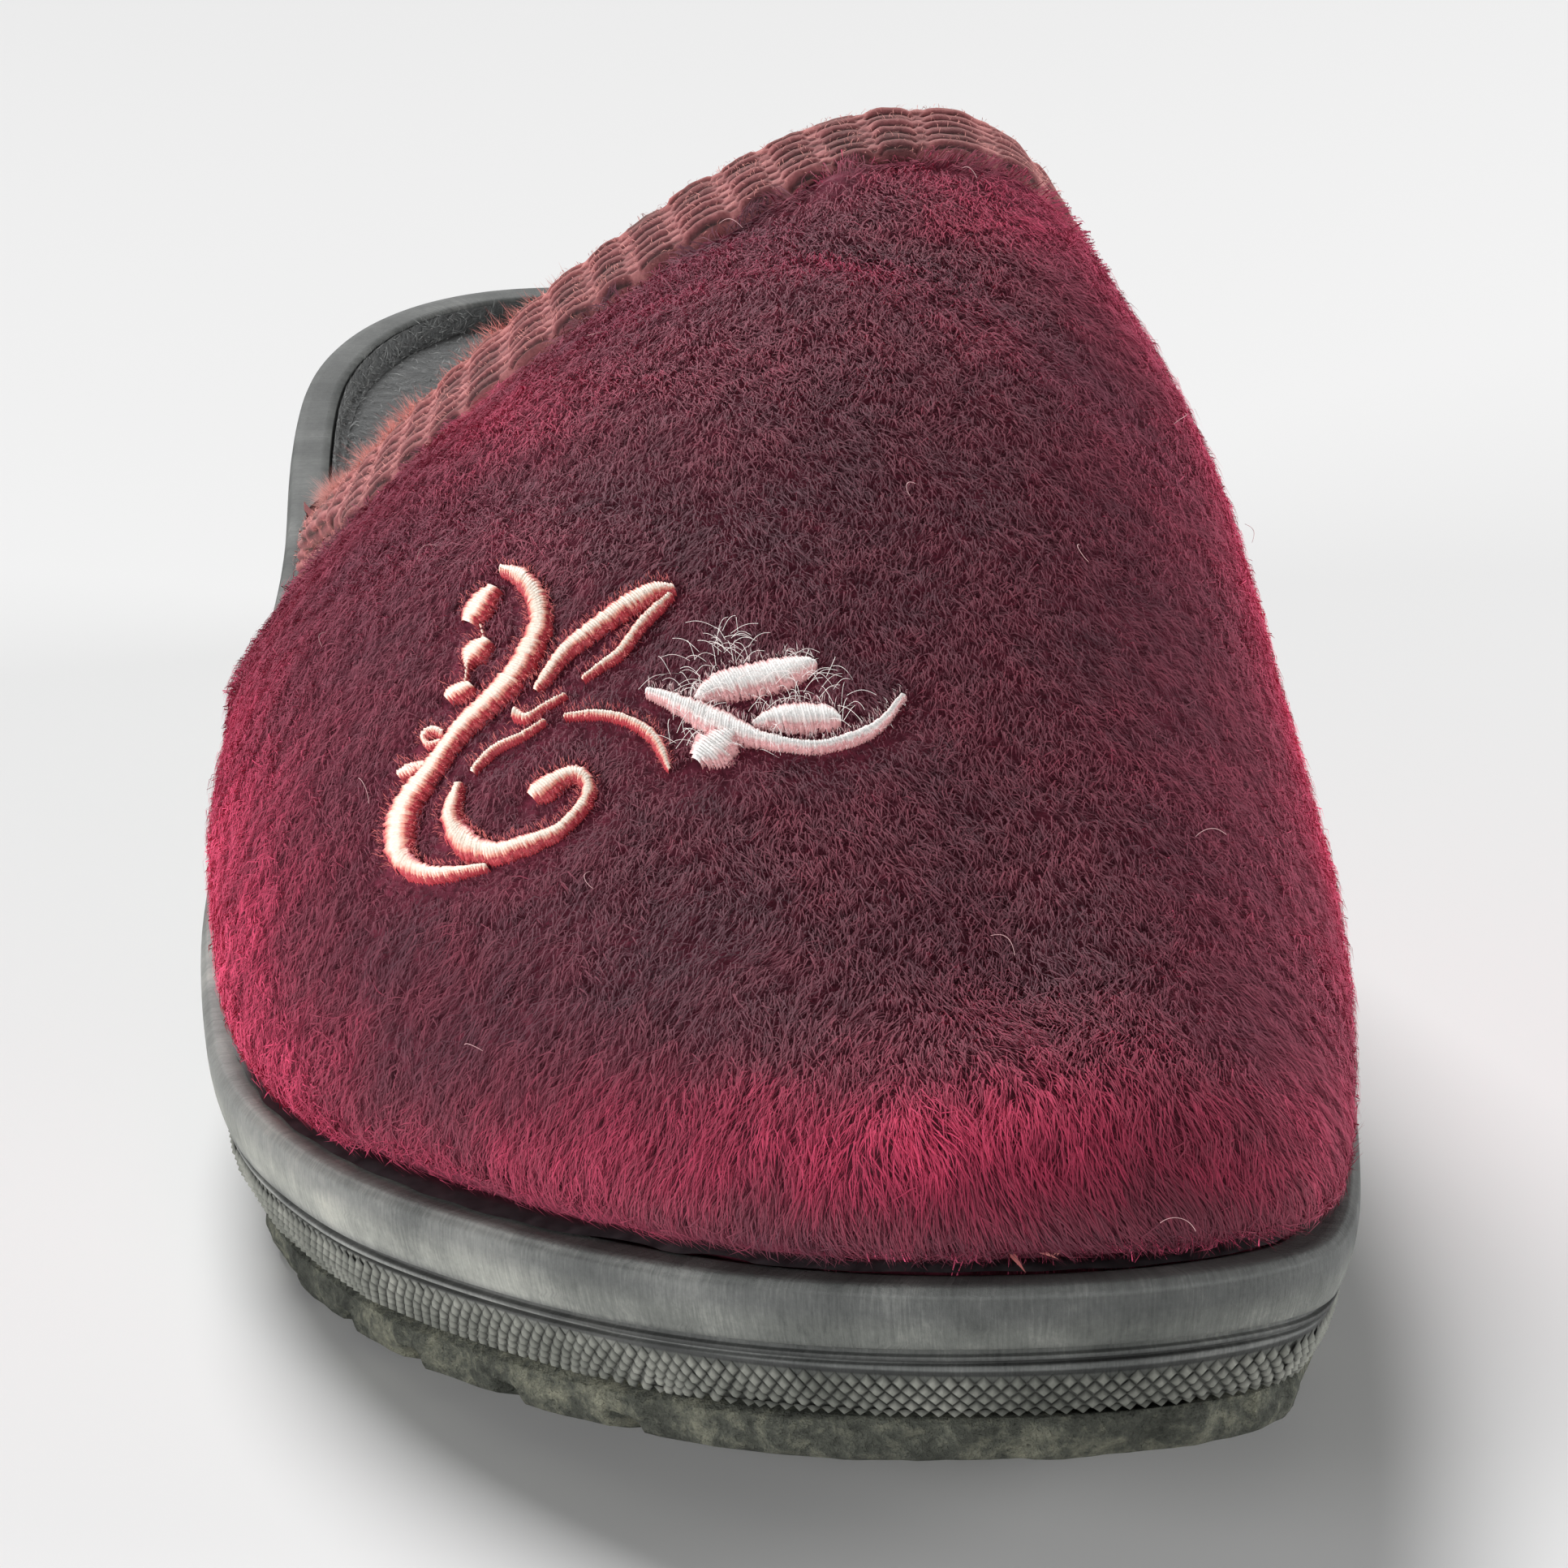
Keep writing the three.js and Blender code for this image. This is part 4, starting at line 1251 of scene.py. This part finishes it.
def knurl(tree, outline, finish):
    """Diamond knurling: one small pyramid, copied in staggered rows round the textured band."""
    points = []
    columns = int(outline["length"] / KNURL_PITCH)
    pitch = outline["length"] / columns
    for column in range(columns):
        i = int(column * pitch / OUTLINE_STEP) % len(outline["stations"])
        height = (outline["top"][i] - outline["bottom"][i]) * (KNURL_HIGH - KNURL_LOW)
        rows = max(int(height / KNURL_ROW_RISE), 3)
        step = (KNURL_HIGH - KNURL_LOW) / rows
        tall = height / rows * KNURL_STRETCH
        for row in range(rows):
            station = (column + 0.5 * (row % 2)) * pitch
            hit, normal = side_point(tree, outline, station, KNURL_LOW + (row + 0.5) * step)
            if hit is None:
                continue
            side = Vector((0, 0, 1)).cross(normal).normalized()
            up = normal.cross(side)
            for x, y, z in PYRAMID_POINTS:
                offset = side * x * pitch * 0.98 + up * y * tall + normal * (z * KNURL_HEIGHT - KNURL_SINK)
                points.append(tuple(hit + offset))
    size = len(PYRAMID_POINTS)
    count = len(points) // size
    peaks = np.tile([z for _, _, z in PYRAMID_POINTS], count)
    triangles = copies(np.array(PYRAMID_SIDES), size, count)
    make_triangles("knurled_band", np.array(points), triangles, {"peak": peaks}, finish)


def lay_sole_coordinates(piece, outline):
    """Attributes for the sole's finish: distance round the outline, share of the side's height, and painted
    light that brightens its outer front and inner side.
    """
    points, _, _ = mesh_arrays(piece)
    nearest, _ = nearest_points(np.pad(outline["line"], ((0, 0), (0, 1))), points * (1, 1, 0))
    top, bottom = outline["top"][nearest], outline["bottom"][nearest]
    x, y, z = points.T
    painted_light_outer_front = past(-(x + 19), 5) * past(-(y + 12), 12)
    add_numbers(piece.data, {
        "around": outline["stations"][nearest],
        "rise": (z - bottom) / (top - bottom),
        "tone_and_painted_side_light": 0.21 * painted_light_outer_front + 0.07 * past(x - 39, 2) - 0.11,
    })


def sole_finish():
    """Moulded rubber: fine upright striations, mottled grey, with painted shade darkening its grooves."""
    finish = Finish("moulded_sole", roughness=0.7, specular_ior_level=0.35)
    rise = finish.attribute("rise")
    around = finish.scaled(finish.attribute("around"), 4.2)
    strokes = finish.add("CombineXYZ", 0, {0: around, 1: finish.scaled(rise, 4.5)})
    striae = finish.noise(1.0, detail=4, roughness=0.65, vector=strokes)
    patches = finish.noise(0.09, detail=4, roughness=0.6)
    grain = finish.noise(2.2, detail=6, roughness=0.7)
    streaks = finish.scaled(grain, 0.2, finish.scaled(striae, 0.35))
    mix = finish.scaled(patches, 0.75, streaks)
    # The grey takes the painted light laid on the sole's outer front and inner side
    grey = finish.ramp(
        finish.scaled(mix, 1.0, finish.attribute("tone_and_painted_side_light")),
        (0.4, (0.06, 0.064, 0.062)), (0.6, (0.13, 0.135, 0.13)),
        (0.8, (0.27, 0.275, 0.26)), (0.95, (0.4, 0.39, 0.36)),
    )
    # Painted shade: darker in the grooves above the knurled band, lighter or darker band by band with the
    # height
    painted_shade_by_height = finish.ramp(
        rise, (0.0, (0.55, 0.55, 0.5)), (0.4, (0.7, 0.7, 0.66)), (0.415, 0.25), (0.44, 0.3),
        (0.455, 1), (0.48, 0.9), (0.5, 0.28), (0.525, 0.35), (0.56, 0.75),
        (0.62, (1.15, 1.15, 1.1)), (0.74, (1.1, 1.1, 1.05)), (0.88, 0.75), (0.98, 0.7), (1.0, 1.0),
    )
    finish.colour(finish.product(grey, painted_shade_by_height))
    finish.roughness(striae, 0.55, 0.85)
    finish.bump((striae, 0.3, 0.2), (grain, 0.4, 0.2))
    return finish.material


def knurl_finish():
    finish = Finish("knurled_rubber", roughness=0.75, specular_ior_level=0.35)
    grey = finish.ramp(
        finish.noise(0.12, detail=5, roughness=0.65),
        (0.3, (0.1, 0.105, 0.09)), (0.55, (0.2, 0.205, 0.18)), (0.8, (0.36, 0.36, 0.32)),
    )
    # Painted shade: each pyramid darker towards its base, down in the hollows between them
    dark = finish.ramp(finish.attribute("peak"), (0.0, 0.2), (0.6, 1))
    finish.colour(finish.product(grey, dark))
    finish.bump((finish.noise(3.0), 0.4, 0.15))
    return finish.material


def tread_finish():
    finish = Finish("tread_rubber", roughness=0.9, specular_ior_level=0.25)
    grit = finish.noise(0.8, detail=6, roughness=0.7)
    mix = finish.scaled(grit, 0.6, finish.scaled(finish.noise(0.15), 0.5))
    # Painted shade: the noise that sinks the bump also darkens the colour, so the pits are darker
    finish.colour(finish.ramp(
        mix, (0.38, (0.028, 0.03, 0.025)), (0.54, (0.095, 0.1, 0.082)), (0.72, (0.28, 0.28, 0.21))
    ))
    finish.bump((grit, 1.0, 1.4), (finish.noise(2.6), 0.7, 0.4))
    return finish.material


def roughen(piece, amount, wavelength, seed):
    """Makes a moulded edge uneven."""
    points, normals, _ = mesh_arrays(piece)
    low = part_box("outsole")[0].z / MM
    field = smooth_noise(points, wavelength, seed) + 0.6 * smooth_noise(points, wavelength / 3, seed + 1)
    upright = 1 - np.abs(normals[:, 2])
    moved = points + normals * (field * amount * upright)[:, None]
    moved[:, 2] = np.maximum(moved[:, 2], low)
    set_points(piece, moved)


def glue_and_shade_line(outline):
    """Dark line of cement in the joint between the vamp and the rim, which also stands as painted shade in
    the gap under the pile's edge.
    """
    keep = outline["line"][:, 1] < CEMENT_END
    start = int(np.argmin(keep)) if keep[0] else 0
    order = [i for i in (np.arange(len(keep)) + start) % len(keep) if keep[i]]
    points = []
    for i in order:
        station = outline["stations"][i]
        waver = 0.5 * math.sin(station * 0.21) + 0.25 * math.sin(station * 0.9)
        for offset, rise in CEMENT_PROFILE:
            shift = offset - CEMENT_INSET + (0.35 * waver if offset == 0 else 0)
            x, y = outline["line"][i] + outline["out"][i] * shift
            points.append((x, y, outline["top"][i] + rise))
    points = np.array(points)
    triangles = facing_up(points, grid_triangles(len(order), len(CEMENT_PROFILE)))
    finish = Finish("cement_and_shade", roughness=0.5)
    spots = finish.noise(0.7, detail=4)
    finish.colour(finish.ramp(spots, (0.3, (0.012, 0.012, 0.014)), (0.8, (0.06, 0.055, 0.06))))
    make_triangles("cement_and_shade_line", points, triangles, {}, finish.material)


# Felt

def felt_finish():
    finish = Finish("felt", roughness=0.95, sheen_weight=0.4, sheen_roughness=0.6)
    wool = finish.noise(0.55, detail=8, roughness=0.75, distortion=0.8)
    mix = finish.scaled(wool, 0.75, finish.scaled(finish.noise(0.05), 0.3))
    finish.colour(finish.ramp(
        mix, (0.3, (0.02, 0.023, 0.023)), (0.55, (0.07, 0.075, 0.074)), (0.8, (0.19, 0.195, 0.19))
    ))
    finish.bump((wool, 0.9, 0.7))
    return finish.material


def felt_fibres(name, felt, amount, steepest, finish):
    """Loose wool fibres lying on the felt, on its faces up to a steepness."""
    rng = np.random.default_rng(SEEDS["felt"])
    roots, normals, _ = surface_roots(felt, amount, rng, lambda centres, ways: ways[:, 2] > steepest)
    ways = unit(along_surface(rng.normal(size=roots.shape), normals))
    short_fibres(name, roots, normals, ways, FELT_FIBRE_SIZE, rng, finish)


def felt_border(outline, sole_tree, insole_tree, finish):
    """Felt turned up from the insole against the inner wall of the rim, behind the vamp."""
    rows = []
    for (x, y), (ox, oy), top in zip(outline["line"], outline["out"], outline["top"]):
        row = []
        if y >= FELT_BORDER_START:
            x, y = x - ox * FELT_BORDER_REACH, y - oy * FELT_BORDER_REACH
            above, fall = Vector((x, y, 100)), Vector((0, 0, -1))
            floor = (insole_tree.ray_cast(above, fall)[0] or sole_tree.ray_cast(above, fall)[0]).z
            for share in FELT_BORDER_SHARES:
                start = Vector((x, y, floor + share * (top - floor)))
                hit = sole_tree.ray_cast(start, Vector((ox, oy, 0)))[0]
                if hit:
                    if not row:
                        row.append((hit.x - ox * 1.3, hit.y - oy * 1.3, floor))
                    row.append((hit.x - ox * 0.3, hit.y - oy * 0.3, hit.z))
        rows.append(row if len(row) == 1 + len(FELT_BORDER_SHARES) else None)
    first = next(i for i in range(len(rows)) if rows[i] and not rows[i - 1])
    points = np.array([row for row in rows[first:] + rows[:first] if row])
    triangles = grid_triangles(*points.shape[:2])
    points = points.reshape(-1, 3)
    return make_triangles("felt_border", points, facing_up(points, triangles), {}, finish)


# Studio

def place_lamp(data, where):
    """A lamp that points at the slipper."""
    lamp = bpy.data.objects.new(data.name, data)
    bpy.context.scene.collection.objects.link(lamp)
    lamp.location = where
    lamp.rotation_mode = "QUATERNION"
    lamp.rotation_quaternion = (Vector(LAMP_TARGET) - lamp.location).to_track_quat("-Z", "Y")


def make_studio():
    world = bpy.data.worlds.new("studio")
    bpy.context.scene.world = world
    world.use_nodes = True
    background = world.node_tree.nodes["Background"]
    background.inputs[0].default_value = (1, 1, 1, 1)
    background.inputs[1].default_value = SKY_STRENGTH
    bpy.ops.mesh.primitive_plane_add(size=12, location=(0, 2, 0))
    floor = bpy.context.active_object
    floor.name = "floor"
    finish = Finish(
        "pale_floor", roughness=0.9, base_color=FLOOR_COLOUR, specular_ior_level=0.0
    )
    floor.data.materials.append(finish.material)
    overhead = bpy.data.lights.new("overhead", "SUN")
    overhead.energy = OVERHEAD_STRENGTH
    overhead.angle = OVERHEAD_ANGLE
    place_lamp(overhead, OVERHEAD_PLACE)
    for name, where, size, power in STUDIO_PANELS:
        data = bpy.data.lights.new(name, "AREA")
        data.shape = "RECTANGLE"
        data.size, data.size_y = size
        data.energy = power
        place_lamp(data, where)
    bpy.context.scene.view_settings.view_transform = "Standard"


make_camera()
make_studio()

band_tree = tree_of(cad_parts["collar_binding"])
sole_tree = tree_of(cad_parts["midsole"])
insole_tree = tree_of(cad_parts["insole"])

skin = smooth_copy("upper", "vamp", UPPER_SHARPNESS)
shape_creases(skin)
seat_backing(skin)
settle(skin, skin_finish(), "upper")
skin_tree = tree_of(skin)

paths = stitch_paths(skin_tree)
peach = thread_finish("peach_thread", (1.0, 0.86, 0.74), (0.95, 0.4, 0.3), (0.55, 0.05, 0.07))
white = thread_finish("white_thread", (1.0, 0.98, 0.96), (1.0, 0.86, 0.83), (0.85, 0.45, 0.45))
sew(skin_tree, paths, {"peach": peach, "white": white})
peach_ends = fibre_finish("peach_ends", (0.4, 0.035, 0.07), (0.85, 0.2, 0.17), (1.0, 0.4, 0.4))
white_ends = fibre_finish("white_ends", (0.75, 0.3, 0.33), (1.0, 0.92, 0.9), (1.0, 0.9, 0.9))
stroke_fringe(skin_tree, paths, {"peach": peach_ends, "white": white_ends})
grow_pile(skin, sole_tree, band_tree, thread_places(skin_tree, paths), plush_finish())

collar = knit_band(band_tree, knit_finish())
pink = fibre_finish("fleece", (0.35, 0.07, 0.07), (0.85, 0.33, 0.3), (1.0, 0.7, 0.65))
band_fuzz(collar, fibre_finish("yarn_fuzz", (0.3, 0.07, 0.06), (0.75, 0.28, 0.25), (1.0, 0.6, 0.55)))
line_fleece(skin, band_tree, [band_tree, insole_tree, sole_tree], pink)
collar_tufts(collar, fibre_finish("tufts", (0.5, 0.12, 0.11), (0.95, 0.5, 0.44), (1.0, 0.7, 0.65)))

outline = sole_outline(sole_tree)
sole = smooth_copy("midsole", "moulded_sole", SOLE_SHARPNESS)
lay_sole_coordinates(sole, outline)
settle(sole, sole_finish(), "midsole")
knurl(sole_tree, outline, knurl_finish())
glue_and_shade_line(outline)

tread = smooth_copy("outsole", "tread", SOLE_SHARPNESS)
roughen(tread, **TREAD_WEAR)
settle(tread, tread_finish(), "outsole")

felt = smooth_copy("insole", "footbed", SOLE_SHARPNESS)
felt_grey = felt_finish()
settle(felt, felt_grey, "insole")
border = felt_border(outline, sole_tree, insole_tree, felt_grey)
wool = fibre_finish("wool", (0.025, 0.028, 0.028), (0.36, 0.37, 0.36), (0.8, 0.8, 0.8))
felt_fibres("felt_fibres", felt, FELT_FIBRES, 0.5, wool)
felt_fibres("felt_border_fibres", border, FELT_BORDER_FIBRES, -1.0, wool)

fray_rng = np.random.default_rng(SEEDS["frayed"])
frayed = []
for spot in FRAYED_SPOTS:
    point, normal = on_vamp(skin_tree, *spot)
    for _ in range(FRAYED_EACH):
        scatter = fray_rng.normal(0, FRAYED_SCATTER, 3)
        frayed.append((point + normal * FRAYED_LIFT + scatter, normal))
fine_threads("frayed_fibres", frayed, FRAYED_SHAPE, fray_rng, (1.0, 0.93, 0.9))

lint_rng = np.random.default_rng(SEEDS["lint"])
seen = [spot for spot in LOOSE_THREADS if skin_tree.ray_cast(EYE, pixel_ray(*spot))[0]]
found = [on_vamp(skin_tree, *spot) for spot in seen]
lint = [(point + normal * LINT_LIFT, normal) for point, normal in found]
fine_threads("loose_threads", lint, LINT_SHAPE, lint_rng, (0.62, 0.36, 0.37))
